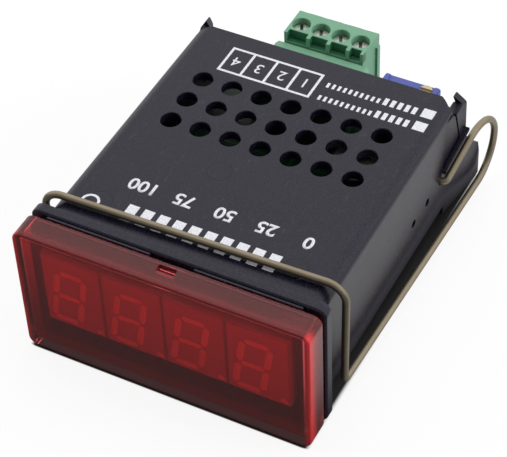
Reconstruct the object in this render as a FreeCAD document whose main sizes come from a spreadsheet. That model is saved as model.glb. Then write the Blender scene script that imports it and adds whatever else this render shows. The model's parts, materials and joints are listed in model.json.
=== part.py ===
import FreeCAD, Part
import math
import os
import re
import Sketcher

# Digital panel meter for a 45 x 21.7 mm panel cut-out.
# Origin at the middle of the panel seat, the rear face of the flange.
# X runs to the right of the display, Y to the rear, Z up. Millimetres and degrees.

FRONT = {
    "front_width": 48.0,
    "front_height": 24.0,
    "front_corner": 1.5,
    "lens_front": 7.2,
    "lens_rear": 2.83,
    "lens_wall": 1.3,
    "lens_face": 1.4,
    "lens_edge": 0.4,
    "slot_left": -1.3,
    "slot_right": 1.6,
    "slot_front": -4.7,
    "slot_rear": -3.5,
}

HOUSING = {
    "flange_depth": 1.8,
    "flange_edge": 0.3,
    "collar_width": 45.0,
    "collar_height": 21.0,
    "collar_front": 4.2,
    "rib_front": 2.4,
    "rib_depth": 0.3,
    "rib_inner": 3.6,
    "rib_outer": 20.7,
    "rib_top": 11.9,
    "rib_root": 10.2,
    "latch_width": 2.4,
    "latch_rise": 0.12,
    "latch_front": 4.1,
    "latch_depth": 0.5,
    "case_width": 44.8,
    "case_height": 21.5,
    "case_edge": 2.0,
    "case_wall": 1.5,
    "case_top_wall": 1.5,
    "case_length": 55.6,
    "roof_length": 47.6,
    "notch_inner": 20.0,
    "notch_outer": 21.6,
    "notch_front": 46.3,
    "notch_floor": 7.8,
    "horn_front": 47.7,
    "horn_floor": 6.5,
    "horn_rear": 49.4,
    "slope_inner": 21.8,
    "slope_outer": 23.8,
    "slope_floor": 7.5,
    "gap_floor": 8.4,
    "gap_deep_y": 49.0,
    "gap_deep_z": 9.1,
    "gap_rear": 48.2,
    "edge_upper_y": 50.2,
    "edge_upper_z": 8.9,
    "edge_lower_y": 50.3,
    "edge_lower_z": 1.6,
    "cheek_top_y": 53.4,
    "cheek_top_z": -2.2,
    "cheek_round_y": 54.8,
    "cheek_round_z": -3.4,
    "cheek_rear_y": 55.5,
    "cheek_rear_z": -5.8,
    "cut_reach": 60.0,
    "flare_start": 44.0,
    "flare_end": 54.5,
    "flare_rise": 1.3,
    "inner_flare_start": 45.2,
    "inner_flare_rise": 1.2,
    "inner_flare_height": 9.0,
    "ridge_front": 43.0,
    "ridge_rear": 52.6,
    "ridge_gap": 1.05,
    "ridge_depth": 0.55,
    "ridge_rise": 0.65,
    "groove_width": 0.7,
    "groove_line": 0.3,
    "groove_depth": 0.3,
    "groove_top_y": 46.9,
    "groove_top_z": 8.7,
    "groove_turn_y": 48.4,
    "groove_turn_z": 3.2,
    "groove_end_y": 43.2,
    "hook_y": 42.6,
    "hook_z": -2.2,
    "hook_hole": 0.7,
    "hook_pitch": 5.2,
    "hook_holes": 3,
    "vent_radius": 1.6,
    "vent_sides": 16,
    "vent_columns": 7,
    "vent_rows": 3,
    "vent_pitch_x": 5.13,
    "vent_pitch_y": 5.2,
    "vent_first_y": 25.0,
    "rail_inner": 19.9,
    "rail_gap": 0.1,
    "rail_depth": 0.6,
    "rail_start": 3.0,
    "rail_length": 41.0,
}

CLIP = {
    "wire_radius": 0.6,
    "wire_sides": 12,
    "tip_x": 21.2,
    "bend_x": 23.2,
    "bend_radius": 0.9,
    "leg_angle": 26.5,
    "loop_rear": 58.3,
    "loop_top_x": 25.2,
    "loop_low_x": 25.0,
    "loop_low_z": -9.8,
    "loop_radius": 5.8,
    "leg_front_x": 24.0,
    "leg_front_z": -8.5,
    "right_leg_y": 4.1,
    "left_leg_y": 2.65,
    "bar_end_x": 24.4,
    "right_bar_y": 3.9,
    "left_bar_y": 2.65,
    "bar_z": 11.65,
    "bar_bend": 3.0,
}

DISPLAY = {
    "digit_count": 4,
    "digit_pitch": 10.16,
    "digit_width": 10.1,
    "digit_bottom": -5.7,
    "digit_height": 14.0,
    "digit_front": 5.3,
    "digit_depth": 6.3,
    "digit_edge": 0.25,
    "glyph_middle": 0.35,
    "glyph_shift": -0.9,
    "glyph_height": 10.9,
    "glyph_width": 5.6,
    "glyph_stroke": 1.15,
    "glyph_gap": 0.12,
    "glyph_lean": 0.16,
    "glyph_depth": 0.2,
    "point_x": 4.0,
    "point_z": -4.9,
    "point_radius": 0.65,
    "point_sides": 8,
    "panel_width": 41.2,
    "panel_height": 17.8,
    "board_depth": 1.6,
}

BOARD = {
    "main_width": 41.4,
    "main_front": 3.2,
    "main_length": 48.0,
    "main_top": 0.8,
    "link_pins": 10,
    "link_pitch": 2.54,
    "link_pin": 0.6,
    "link_hole": 0.5,
    "drill_sides": 8,
    "link_z": 2.05,
    "link_start": 0.3,
    "link_bend_y": 7.2,
    "strip_front": 3.4,
    "strip_size": 2.5,
    "tail_bottom": -2.2,
    "chip_x": -1.0,
    "chip_y": 22.0,
    "chip_width": 17.9,
    "chip_depth": 7.5,
    "chip_lift": 0.1,
    "chip_height": 2.3,
    "chip_bevel": 0.25,
    "lead_count": 14,
    "lead_pitch": 1.27,
    "lead_width": 0.42,
    "lead_depth": 0.25,
    "lead_reach": 1.4,
    "lead_knee": 0.5,
    "lead_rise": 1.1,
    "regulator_x": 12.0,
    "regulator_y": 15.0,
    "regulator_width": 6.6,
    "regulator_depth": 6.1,
    "regulator_height": 2.3,
    "tab_width": 5.3,
    "tab_depth": 1.1,
    "tab_height": 0.5,
    "foot_width": 0.8,
    "foot_depth": 2.6,
    "foot_offset": 2.28,
    "can_x": 13.0,
    "can_y": 31.0,
    "can_radius": 4.0,
    "can_height": 7.6,
    "crimp_low": 1.0,
    "crimp_depth": 0.35,
    "crimp_half": 0.4,
    "can_bevel": 0.4,
}

TERMINAL = {
    "pole_count": 4,
    "pole_pitch": 3.5,
    "plug_x": -2.3,
    "header_width": 16.8,
    "header_front": 42.1,
    "header_depth": 9.2,
    "header_top": 8.5,
    "header_cavity_width": 14.3,
    "header_cavity_front": 44.0,
    "header_floor": 1.6,
    "header_ceiling": 7.6,
    "header_bevel": 0.6,
    "pin_size": 0.8,
    "pin_z": 3.3,
    "pin_tip": 50.8,
    "pin_tail_y": 41.0,
    "pin_hole": 0.9,
    "pin_board_hole": 0.65,
    "plug_width": 14.0,
    "plug_front": 51.5,
    "plug_rear": 57.9,
    "plug_bottom": -0.2,
    "plug_top": 10.5,
    "plug_bevel": 0.5,
    "tongue_width": 13.7,
    "tongue_front": 44.8,
    "tongue_bottom": 1.9,
    "tongue_top": 7.3,
    "side_rib_front": 56.3,
    "side_rib_depth": 1.0,
    "side_rib_top": 8.4,
    "side_rib_rise": 0.4,
    "screw_y": 54.4,
    "well_radius": 1.5,
    "well_sides": 16,
    "well_floor": 8.3,
    "neck_radius": 0.95,
    "neck_sides": 8,
    "chamber_half_width": 1.45,
    "chamber_front": 52.9,
    "chamber_depth": 3.0,
    "chamber_floor": 1.3,
    "chamber_top": 7.5,
    "comb_floor": 8.7,
    "comb_depth": 1.0,
    "comb_wall": 0.55,
    "comb_rib": 0.65,
    "comb_shift": 0.75,
    "nick_width": 1.5,
    "nick_depth": 0.7,
    "nick_sink": 0.4,
    "nick_shift": -0.6,
    "entry_width": 2.2,
    "entry_bottom": 1.5,
    "entry_height": 2.2,
    "funnel_grow": 0.35,
    "funnel_depth": 1.0,
    "passage_width": 1.9,
    "passage_front": 45.6,
    "passage_floor": 2.3,
    "passage_top": 4.7,
    "mouth_size": 1.3,
    "contact_width": 1.3,
    "bar_bottom": 3.9,
    "bar_depth": 0.5,
    "bar_rear": 55.8,
    "leaf_front": 46.0,
    "leaf_depth": 0.4,
    "web_front": 51.6,
    "web_depth": 0.6,
    "cage_width": 2.5,
    "cage_depth": 2.5,
    "cage_bottom": 3.1,
    "cage_height": 4.2,
    "cage_window": 1.7,
    "cage_base": 0.5,
    "cage_cap": 0.7,
    "cage_bore": 0.93,
    "bore_sides": 12,
    "screw_head": 1.35,
    "screw_seat": 8.4,
    "screw_head_height": 1.0,
    "screw_shank": 0.85,
    "screw_tip": 4.6,
    "screw_slot": 0.5,
    "screw_slot_depth": 0.5,
    "screw_turn": 115.0,
}

TRIMMER = {
    "trimmer_x": 9.1,
    "trimmer_y": 45.9,
    "trimmer_width": 9.5,
    "trimmer_depth": 4.8,
    "trimmer_top": 9.0,
    "trimmer_bevel": 0.2,
    "nub_width": 0.8,
    "nub_depth": 2.2,
    "nub_rise": 0.3,
    "adjuster_x": 16.6,
    "adjuster_y": 49.2,
    "adjuster_radius": 1.05,
    "adjuster_hole": 1.1,
    "adjuster_floor": 7.0,
    "adjuster_top": 9.5,
    "adjuster_slot": 0.5,
    "adjuster_slot_depth": 0.6,
}

SIZES = {}
for family in (FRONT, HOUSING, CLIP, DISPLAY, BOARD, TERMINAL, TRIMMER):
    SIZES.update(family)

doc = FreeCAD.newDocument("panel_meter")
sheet = doc.addObject("Spreadsheet::Sheet", "Dims")
for row, (alias, value) in enumerate(SIZES.items(), start=1):
    sheet.set("A%d" % row, alias)
    sheet.set("B%d" % row, str(value))
    sheet.setAlias("B%d" % row, alias)
doc.recompute()


# Formulas on the sheet

def formula(text):
    """Sheet formula for words and numbers such as "front_width / 2"."""
    def named(match):
        word = match.group()
        return "Dims." + word if word in SIZES else word
    return re.sub(r"[a-z_][a-z_0-9]*", named, str(text))


def size(text):
    """Present value of a formula."""
    return float(sheet.evalExpression(formula(text)))


def size_count(text):
    return int(size(text))


def bind(thing, setting, text):
    """Ties a property to a formula on the sheet."""
    thing.setExpression(setting, formula(text))


# Bodies built from sketches

def new_body(name):
    body = doc.addObject("PartDesign::Body", name)
    body.Label = name
    body.AllowCompound = True
    return body


def origin_feature(body, role):
    return next(item for item in body.Origin.OriginFeatures if item.Role == role)


def new_sketch(body, plane, name, level="0"):
    """Sketch on an origin plane of the body, lifted along the plane's normal."""
    sketch = body.newObject("Sketcher::SketchObject", name)
    sketch.AttachmentSupport = (origin_feature(body, plane), [""])
    sketch.MapMode = "FlatFace"
    bind(sketch, "AttachmentOffset.Base.z", level)
    return sketch


def draw_polygon(sketch, corners):
    """Closed outline with each corner held by two formulas."""
    points = [FreeCAD.Vector(size(across), size(up), 0) for across, up in corners]
    first = sketch.GeometryCount
    count = len(points)
    lines = [Part.LineSegment(point, points[(at + 1) % count]) for at, point in enumerate(points)]
    sketch.addGeometry(lines, False)
    joins = []
    holds = []
    for at, (across, up) in enumerate(corners):
        line = first + at
        following = first + (at + 1) % count
        joins.append(Sketcher.Constraint("Coincident", line, 2, following, 1))
        holds.append(("DistanceX", line, across))
        holds.append(("DistanceY", line, up))
    sketch.addConstraint(joins)
    hold_points(sketch, holds, 1)


def hold_points(sketch, holds, place):
    """Signed distances from the sketch origin, tied to formulas."""
    distances = [Sketcher.Constraint(kind, -1, 1, item, place, size(text)) for kind, item, text in holds]
    start = sketch.ConstraintCount
    sketch.addConstraint(distances)
    for at, (kind, item, text) in enumerate(holds):
        bind(sketch, "Constraints[%d]" % (start + at), text)


def draw_rectangle(sketch, left, right, low, high):
    draw_polygon(sketch, [(left, low), (right, low), (right, high), (left, high)])


def draw_centred(sketch, width, height):
    half_width = "(%s) / 2" % width
    half_height = "(%s) / 2" % height
    draw_rectangle(sketch, "-" + half_width, half_width, "-" + half_height, half_height)


def flats_reach(radius, sides):
    """Corner distance of an even-sided outline whose flats touch the radius."""
    return "%s / cos(180deg / %s)" % (radius, sides)


def draw_hole(sketch, across, up, radius, sides):
    """Hole drawn as an even-sided outline round the radius."""
    reach = flats_reach(radius, sides)
    turns = ["360deg * %d / %s" % (corner, sides) for corner in range(size_count(sides))]
    corners = []
    for turn in turns:
        corners.append(("%s + %s * cos(%s)" % (across, reach, turn), "%s + %s * sin(%s)" % (up, reach, turn)))
    draw_polygon(sketch, corners)


def draw_circle(sketch, across, up, radius):
    middle = FreeCAD.Vector(size(across), size(up), 0)
    item = sketch.addGeometry(Part.Circle(middle, FreeCAD.Vector(0, 0, 1), size(radius)), False)
    place = 3
    hold_points(sketch, [("DistanceX", item, across), ("DistanceY", item, up)], place)
    number = sketch.addConstraint(Sketcher.Constraint("Radius", item, size(radius)))
    bind(sketch, "Constraints[%d]" % number, radius)


def finish_feature(body, feature):
    body.Tip = feature
    doc.recompute()
    return feature


def pad(body, sketch, length, backward=False, symmetric=False):
    """Material along the sketch normal, or against it when backward."""
    feature = body.newObject("PartDesign::Pad", sketch.Name + "_pad")
    feature.Profile = sketch
    feature.Reversed = backward
    if symmetric:
        feature.SideType = "Symmetric"
    bind(feature, "Length", length)
    return finish_feature(body, feature)


def pocket(body, sketch, length=None, backward=False, symmetric=False):
    """Cut against the sketch normal, or along it when backward; right through with no length."""
    before = body.Shape.Volume
    feature = body.newObject("PartDesign::Pocket", sketch.Name + "_cut")
    feature.Profile = sketch
    feature.Reversed = backward
    if symmetric:
        feature.SideType = "Symmetric"
    if length is None:
        feature.Type = "ThroughAll"
    else:
        bind(feature, "Length", length)
    finish_feature(body, feature)
    if body.Shape.Volume >= before:
        raise RuntimeError(sketch.Name + " cuts nothing")
    return feature


def repeat(body, feature, name, axis, count, pitch, second=None):
    """Rows of a feature along one origin axis, or along two."""
    pattern = body.newObject("PartDesign::LinearPattern", name)
    pattern.Originals = [feature]
    pattern.Direction = (origin_feature(body, axis), [""])
    bind(pattern, "Occurrences", count)
    bind(pattern, "Length", "(%s - 1) * %s" % (count, pitch))
    if second:
        axis2, count2, pitch2 = second
        pattern.Direction2 = (origin_feature(body, axis2), [""])
        bind(pattern, "Occurrences2", count2)
        bind(pattern, "Length2", "(%s - 1) * %s" % (count2, pitch2))
    return finish_feature(body, pattern)


def dress(body, kind, name, setting, amount, chosen):
    """Fillet or chamfer on the edges of the tip that are chosen."""
    base = body.Tip
    edges = ["Edge%d" % (at + 1) for at, edge in enumerate(base.Shape.Edges) if chosen(edge)]
    feature = body.newObject("PartDesign::" + kind, name)
    feature.Base = (base, edges)
    bind(feature, setting, amount)
    return finish_feature(body, feature)


NEAR = 0.001


def along_y_at(across, up):
    """Straight edges along Y whose distance from the axis is as given on both sides."""
    def chosen(edge):
        box = edge.BoundBox
        lengthwise = box.XLength < NEAR and box.ZLength < NEAR
        aside = abs(abs(box.XMin) - size(across)) < NEAR
        return lengthwise and aside and abs(abs(box.ZMin) - size(up)) < NEAR
    return chosen


def around_at_y(depth, across, up):
    """Edges in one plane across Y that lie on the outline of the given half width and half height."""
    def chosen(edge):
        box = edge.BoundBox
        flat = abs(box.YMin - size(depth)) < NEAR and abs(box.YMax - size(depth)) < NEAR
        wide = max(abs(box.XMin), abs(box.XMax)) > size(across) - NEAR
        tall = max(abs(box.ZMin), abs(box.ZMax)) > size(up) - NEAR
        return flat and (wide or tall)
    return chosen


# Pieces built from primitives

def block(name, start, extent):
    box = doc.addObject("Part::Box", name)
    for side, text in zip(("Length", "Width", "Height"), extent):
        bind(box, side, text)
    for axis, text in zip("xyz", start):
        bind(box, "Placement.Base." + axis, text)
    return box


def drill(name, start, radius, sides, height):
    """Upright even-sided cutter round the radius."""
    prism = doc.addObject("Part::Prism", name)
    bind(prism, "Polygon", sides)
    bind(prism, "Circumradius", flats_reach(radius, sides))
    bind(prism, "Height", height)
    for axis, text in zip("xyz", start):
        bind(prism, "Placement.Base." + axis, text)
    return prism


def fused(name, pieces):
    union = doc.addObject("Part::MultiFuse", name)
    union.Shapes = pieces
    union.Refine = True
    return union


def carved(name, base, tools):
    """Base less all of the tools."""
    cutter = tools[0] if len(tools) == 1 else fused(name + "_tools", tools)
    result = doc.addObject("Part::Cut", name)
    result.Base = base
    result.Tool = cutter
    result.Refine = True
    return result


def bevelled(name, base, amount, chosen):
    """Chamfer of equal legs on the chosen edges."""
    doc.recompute()
    width = size(amount)
    numbers = [at + 1 for at, edge in enumerate(base.Shape.Edges) if chosen(edge)]
    result = doc.addObject("Part::Chamfer", name)
    result.Base = base
    result.Edges = [(number, width, width) for number in numbers]
    return result


def gathered(name, pieces):
    group = doc.addObject("Part::Compound", name)
    group.Links = pieces
    return group


nodes = []


def hand_in(thing, label):
    thing.Label = label
    nodes.append(thing)


POLES = ["plug_x + (%d - (pole_count - 1) / 2) * pole_pitch" % pole
         for pole in range(size_count("pole_count"))]


# Front lens

def build_lens():
    body = new_body("front_lens")
    shell = new_sketch(body, "XZ_Plane", "lens_shell", "lens_front")
    draw_centred(shell, "front_width", "front_height")
    pad(body, shell, "lens_front - lens_rear", backward=True)
    corners = along_y_at("front_width / 2", "front_height / 2")
    dress(body, "Fillet", "lens_corners", "Radius", "front_corner", corners)
    rim = around_at_y("-lens_front", "front_width / 2 - front_corner", "front_height / 2 - front_corner")
    dress(body, "Chamfer", "lens_rim", "Size", "lens_edge", rim)
    hollow = new_sketch(body, "XZ_Plane", "lens_hollow", "lens_front - lens_face")
    draw_centred(hollow, "front_width - 2 * lens_wall", "front_height - 2 * lens_wall")
    pocket(body, hollow, "lens_front")
    slot = new_sketch(body, "XY_Plane", "lens_slot", "front_height / 2")
    draw_rectangle(slot, "slot_left", "slot_right", "slot_front", "slot_rear")
    pocket(body, slot, "2 * lens_wall")
    hand_in(body, "front_lens")


# Housing

def draw_both_sides(sketch, corners):
    """The same outline right and left of the middle plane."""
    draw_polygon(sketch, corners)
    draw_polygon(sketch, [("-(%s)" % across, up) for across, up in corners])


def leg_z(depth, lift):
    """Height of the upper clip leg at a depth, lifted square to the leg."""
    return "hook_z + (%s - hook_y) * tan(leg_angle * 1deg) + (%s) / cos(leg_angle * 1deg)" % (depth, lift)


def trim_to_flare(body, name, rise):
    """Cuts both sides back to the flare of the rear walls, a rise above it."""
    near = "case_width / 2 + " + rise
    far = near + " + flare_rise"
    start = "ridge_front - ridge_depth"
    ramp = new_sketch(body, "XY_Plane", name)
    draw_both_sides(ramp, [(near, start), (near, "flare_start"), (far, "flare_end"), (far, "cut_reach"),
                           ("cut_reach", "cut_reach"), ("cut_reach", start)])
    pocket(body, ramp, symmetric=True)


def build_housing():
    body = new_body("housing")
    half_case = "case_width / 2"
    half_height = "case_height / 2"
    case = new_sketch(body, "XZ_Plane", "case_outline")
    draw_centred(case, "case_width", "case_height")
    pad(body, case, "case_length", backward=True)
    dress(body, "Fillet", "case_edges", "Radius", "case_edge", along_y_at(half_case, half_height))

    flange = new_sketch(body, "XZ_Plane", "flange_outline")
    draw_centred(flange, "front_width", "front_height")
    pad(body, flange, "flange_depth")
    corners = along_y_at("front_width / 2", "front_height / 2")
    dress(body, "Fillet", "flange_corners", "Radius", "front_corner", corners)
    rim = around_at_y("-flange_depth", "front_width / 2 - front_corner", "front_height / 2 - front_corner")
    dress(body, "Chamfer", "flange_rim", "Size", "flange_edge", rim)
    collar = new_sketch(body, "XZ_Plane", "collar_outline", "flange_depth")
    draw_centred(collar, "collar_width", "collar_height")
    pad(body, collar, "collar_front - flange_depth")
    ribs = new_sketch(body, "XZ_Plane", "spacer_ribs", "rib_front")
    draw_both_sides(ribs, [("rib_inner", "rib_root"), ("rib_outer", "rib_root"),
                           ("rib_outer", "rib_top"), ("rib_inner", "rib_top")])
    pad(body, ribs, "rib_depth", backward=True)
    latch = new_sketch(body, "XZ_Plane", "lens_latch", "latch_front")
    draw_rectangle(latch, "-latch_width / 2", "latch_width / 2",
                   "rib_root", "collar_height / 2 + latch_rise")
    pad(body, latch, "latch_depth", backward=True)

    horn = new_sketch(body, "YZ_Plane", "horn_outline")
    draw_polygon(horn, [("horn_front", "horn_floor"), ("edge_upper_y", "horn_floor"),
                        ("edge_upper_y", half_height), ("horn_front", half_height)])
    pad(body, horn, "case_width + 4 * flare_rise", symmetric=True)
    cheek = new_sketch(body, "YZ_Plane", "cheek_outline")
    draw_polygon(cheek, [("flare_start", "-" + half_height), ("case_length", "-" + half_height),
                         ("case_length", half_height + " - case_edge"),
                         ("flare_start", half_height + " - case_edge")])
    pad(body, cheek, "case_width + 4 * flare_rise", symmetric=True)
    trim_to_flare(body, "cheek_ramp", "0")
    slope = new_sketch(body, "XZ_Plane", "horn_slope", "-horn_front")
    draw_both_sides(slope, [("slope_inner", half_height), ("slope_outer", "slope_floor"),
                            ("cut_reach", "slope_floor"), ("cut_reach", half_height)])
    pocket(body, slope, "case_length - horn_front")
    ridge = new_sketch(body, "YZ_Plane", "ridge_outline")
    draw_polygon(ridge, [("ridge_front", leg_z("ridge_front", "ridge_gap")),
                         ("ridge_rear", leg_z("ridge_rear", "ridge_gap")),
                         ("ridge_rear", leg_z("ridge_rear", "ridge_gap + ridge_depth")),
                         ("ridge_front", leg_z("ridge_front", "ridge_gap + ridge_depth"))])
    pad(body, ridge, "case_width + 4 * flare_rise", symmetric=True)
    trim_to_flare(body, "ridge_ramp", "ridge_rise")

    rear = new_sketch(body, "YZ_Plane", "rear_edge")
    draw_polygon(rear, [("horn_rear", "cut_reach"), ("horn_rear", half_height),
                        ("edge_upper_y", "edge_upper_z"), ("edge_lower_y", "edge_lower_z"),
                        ("cheek_top_y", "cheek_top_z"), ("cheek_round_y", "cheek_round_z"),
                        ("cheek_rear_y", "cheek_rear_z"),
                        ("case_length", "-" + half_height), ("cut_reach", "-" + half_height),
                        ("cut_reach", "cut_reach")])
    pocket(body, rear, symmetric=True)
    roof = new_sketch(body, "XY_Plane", "roof_edge", half_height)
    draw_polygon(roof, [("notch_inner", "roof_length"), ("notch_outer", "notch_front"),
                        ("notch_outer", "cut_reach"), ("-notch_outer", "cut_reach"),
                        ("-notch_outer", "notch_front"), ("-notch_inner", "roof_length")])
    pocket(body, roof, half_height + " - notch_floor")
    hollow = new_sketch(body, "XZ_Plane", "case_hollow")
    draw_centred(hollow, "case_width - 2 * case_wall", "case_height - 2 * case_top_wall")
    pocket(body, hollow, symmetric=True)
    inner = new_sketch(body, "XY_Plane", "inner_flare", "case_top_wall - " + half_height)
    wall = "case_width / 2 - case_wall"
    draw_both_sides(inner, [(wall, "inner_flare_start"), (wall + " + inner_flare_rise", "flare_end"),
                            (wall + " + inner_flare_rise", "cut_reach"), (wall, "cut_reach")])
    pocket(body, inner, "inner_flare_height", backward=True)

    rails = new_sketch(body, "XZ_Plane", "board_rails", "-rail_start")
    for low in ("main_top + rail_gap", "-main_top - rail_gap - rail_depth"):
        draw_both_sides(rails, [("rail_inner", low), (wall, low), (wall, low + " + rail_depth"),
                                ("rail_inner", low + " + rail_depth")])
    pad(body, rails, "rail_length", backward=True)
    shelf = "ridge_gap + ridge_depth"
    for side, level, outward in (("right", half_case + " - groove_depth", True),
                                 ("left", "groove_depth - " + half_case, False)):
        groove = new_sketch(body, "YZ_Plane", side + "_groove", level)
        draw_polygon(groove, [("groove_top_y", "groove_top_z"), ("groove_turn_y", "groove_turn_z"),
                              ("groove_turn_y", leg_z("groove_turn_y", shelf)),
                              ("groove_end_y", leg_z("groove_end_y", shelf)),
                              ("groove_end_y", leg_z("groove_end_y", shelf + " + groove_width")),
                              ("groove_turn_y - groove_line", "groove_turn_z"),
                              ("groove_top_y - groove_line", "groove_top_z")])
        pocket(body, groove, "groove_depth + flare_rise", backward=outward)
    for side, level, outward in (("right", "notch_outer", True), ("left", "-notch_outer", False)):
        gap = new_sketch(body, "YZ_Plane", side + "_horn_gap", level)
        draw_polygon(gap, [("notch_front", "gap_floor"), ("horn_front", "gap_floor"),
                           ("gap_deep_y", "gap_deep_z"), ("gap_rear", half_height),
                           ("gap_rear", "cut_reach"), ("notch_front", "cut_reach")])
        pocket(body, gap, "case_wall + flare_rise", backward=outward)
    hook = new_sketch(body, "YZ_Plane", "hook_hole_outline")
    draw_circle(hook, "hook_y - (hook_holes - 1) * hook_pitch", "hook_z", "hook_hole")
    first_hook = pocket(body, hook, "2 * cut_reach", symmetric=True)
    repeat(body, first_hook, "hook_holes_row", "Y_Axis", "hook_holes", "hook_pitch")
    vent = new_sketch(body, "XY_Plane", "vent_outline", half_height)
    draw_hole(vent, "-(vent_columns - 1) / 2 * vent_pitch_x", "vent_first_y", "vent_radius", "vent_sides")
    first_vent = pocket(body, vent, "2 * case_top_wall")
    rows = ("Y_Axis", "vent_rows", "vent_pitch_y")
    repeat(body, first_vent, "vents", "X_Axis", "vent_columns", "vent_pitch_x", rows)
    hand_in(body, "housing")


# Spring clip

def bent_path(corners):
    """Wire through straight runs, each inner corner rounded by its own bend radius."""
    edges = []
    here = corners[0][0]
    for at in range(1, len(corners) - 1):
        corner, radius = corners[at]
        back = (corners[at - 1][0] - corner).normalize()
        ahead = (corners[at + 1][0] - corner).normalize()
        half_angle = back.getAngle(ahead) / 2
        reach = radius / math.tan(half_angle)
        middle = (back + ahead).normalize()
        nearest = radius / math.sin(half_angle) - radius
        start = corner + back * reach
        end = corner + ahead * reach
        edges.append(Part.LineSegment(here, start).toShape())
        edges.append(Part.Arc(start, corner + middle * nearest, end).toShape())
        here = end
    edges.append(Part.LineSegment(here, corners[-1][0]).toShape())
    return Part.Wire(edges)


def clip_side(sign, leg_y, bar_y):
    """Corners of one side of the clip, from the hook tip to the crossbar."""
    def spot(across, depth, up):
        return FreeCAD.Vector(sign * size(across), size(depth), size(up))
    tight = size("bend_radius")
    loop = size("loop_radius")
    return [
        (spot("tip_x", "hook_y", "hook_z"), 0),
        (spot("bend_x", "hook_y", "hook_z"), tight),
        (spot("loop_top_x", "loop_rear", leg_z("loop_rear", "0")), loop),
        (spot("loop_low_x", "loop_rear", "loop_low_z"), loop),
        (spot("leg_front_x", leg_y, "leg_front_z"), tight),
        (spot("bar_end_x", bar_y, "bar_z"), size("bar_bend")),
    ]


def build_clip():
    right = clip_side(1, "right_leg_y", "right_bar_y")
    left = clip_side(-1, "left_leg_y", "left_bar_y")
    path = doc.addObject("Part::Feature", "clip_path")
    path.Shape = bent_path(right + left[::-1])
    section = doc.addObject("Part::RegularPolygon", "wire_section")
    bind(section, "Polygon", "wire_sides")
    bind(section, "Circumradius", "wire_radius")
    section.Placement.Rotation = FreeCAD.Rotation(FreeCAD.Vector(0, 0, 1), FreeCAD.Vector(1, 0, 0))
    for axis, text in zip("xyz", ("tip_x", "hook_y", "hook_z")):
        bind(section, "Placement.Base." + axis, text)
    clip = doc.addObject("Part::Sweep", "spring_clip")
    clip.Sections = [section]
    clip.Spine = (path, ["Edge%d" % (at + 1) for at in range(len(path.Shape.Edges))])
    clip.Solid = True
    hand_in(clip, "spring_clip")


# Display

def leaned(across, up):
    """Corner of a glyph stroke after the lean to the right."""
    return ("glyph_shift + (%s) + glyph_lean * (%s)" % (across, up), "glyph_middle + (%s)" % up)


def flat_stroke(up):
    """Six corners of a level stroke at a height from the glyph's middle."""
    half = "(glyph_width / 2 - glyph_stroke / 2 - glyph_gap)"
    rise = "glyph_stroke / 2"
    inner = "%s - %s" % (half, rise)
    ends = [("-" + half, "0"), ("-(%s)" % inner, "-" + rise), (inner, "-" + rise),
            (half, "0"), (inner, rise), ("-(%s)" % inner, rise)]
    return [leaned(across, "%s + %s" % (up, lift)) for across, lift in ends]


def upright_stroke(across, low, high):
    """Six corners of an upright stroke between two heights from the glyph's middle."""
    rise = "glyph_stroke / 2"
    bottom = "(%s + glyph_gap)" % low
    top = "(%s - glyph_gap)" % high
    ends = [("0", bottom), (rise, "%s + %s" % (bottom, rise)), (rise, "%s - %s" % (top, rise)),
            ("0", top), ("-" + rise, "%s - %s" % (top, rise)), ("-" + rise, "%s + %s" % (bottom, rise))]
    return [leaned("%s + %s" % (across, shift), up) for shift, up in ends]


def build_digit(number):
    name = "led_digit_%d" % number
    body = new_body(name)
    module = new_sketch(body, "XZ_Plane", name + "_outline", "digit_front")
    draw_rectangle(module, "-digit_width / 2", "digit_width / 2",
                   "digit_bottom", "digit_bottom + digit_height")
    pad(body, module, "digit_depth", backward=True)
    rim = around_at_y("-digit_front", "0", "0")
    dress(body, "Chamfer", name + "_rim", "Size", "digit_edge", rim)
    face = new_sketch(body, "XZ_Plane", name + "_face", "digit_front")
    reach = "(glyph_height / 2 - glyph_stroke / 2)"
    for up in ("-" + reach, "0", reach):
        draw_polygon(face, flat_stroke(up))
    side = "(glyph_width / 2 - glyph_stroke / 2)"
    for across in ("-" + side, side):
        draw_polygon(face, upright_stroke(across, "-" + reach, "0"))
        draw_polygon(face, upright_stroke(across, "0", reach))
    draw_hole(face, "point_x", "point_z", "point_radius", "point_sides")
    pocket(body, face, "glyph_depth")
    bind(body, "Placement.Base.x", "digit_pitch * (%d - (digit_count + 1) / 2)" % number)
    hand_in(body, name)


PANEL_FRONT = "digit_depth - digit_front"


def build_boards():
    first_pin = "-(link_pins - 1) / 2 * link_pitch"
    panel = new_body("display_board")
    outline = new_sketch(panel, "XZ_Plane", "panel_outline", "digit_front - digit_depth")
    draw_centred(outline, "panel_width", "panel_height")
    pad(panel, outline, "board_depth", backward=True)
    hole = new_sketch(panel, "XZ_Plane", "panel_hole", "digit_front - digit_depth")
    draw_hole(hole, first_pin, "link_z", "link_hole", "drill_sides")
    repeat(panel, pocket(panel, hole), "panel_holes", "X_Axis", "link_pins", "link_pitch")
    hand_in(panel, "display_board")

    main = new_body("main_board")
    outline = new_sketch(main, "XY_Plane", "main_outline", "main_top")
    draw_rectangle(outline, "-main_width / 2", "main_width / 2", "main_front", "main_front + main_length")
    pad(main, outline, "board_depth", backward=True)
    hole = new_sketch(main, "XY_Plane", "link_hole_outline", "main_top")
    draw_hole(hole, first_pin, "link_bend_y", "link_hole", "drill_sides")
    repeat(main, pocket(main, hole), "link_holes", "X_Axis", "link_pins", "link_pitch")
    hole = new_sketch(main, "XY_Plane", "pin_hole_outline", "main_top")
    draw_hole(hole, POLES[0], "pin_tail_y + pin_size / 2", "pin_board_hole", "drill_sides")
    repeat(main, pocket(main, hole), "pin_holes", "X_Axis", "pole_count", "pole_pitch")
    hand_in(main, "main_board")


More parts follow.
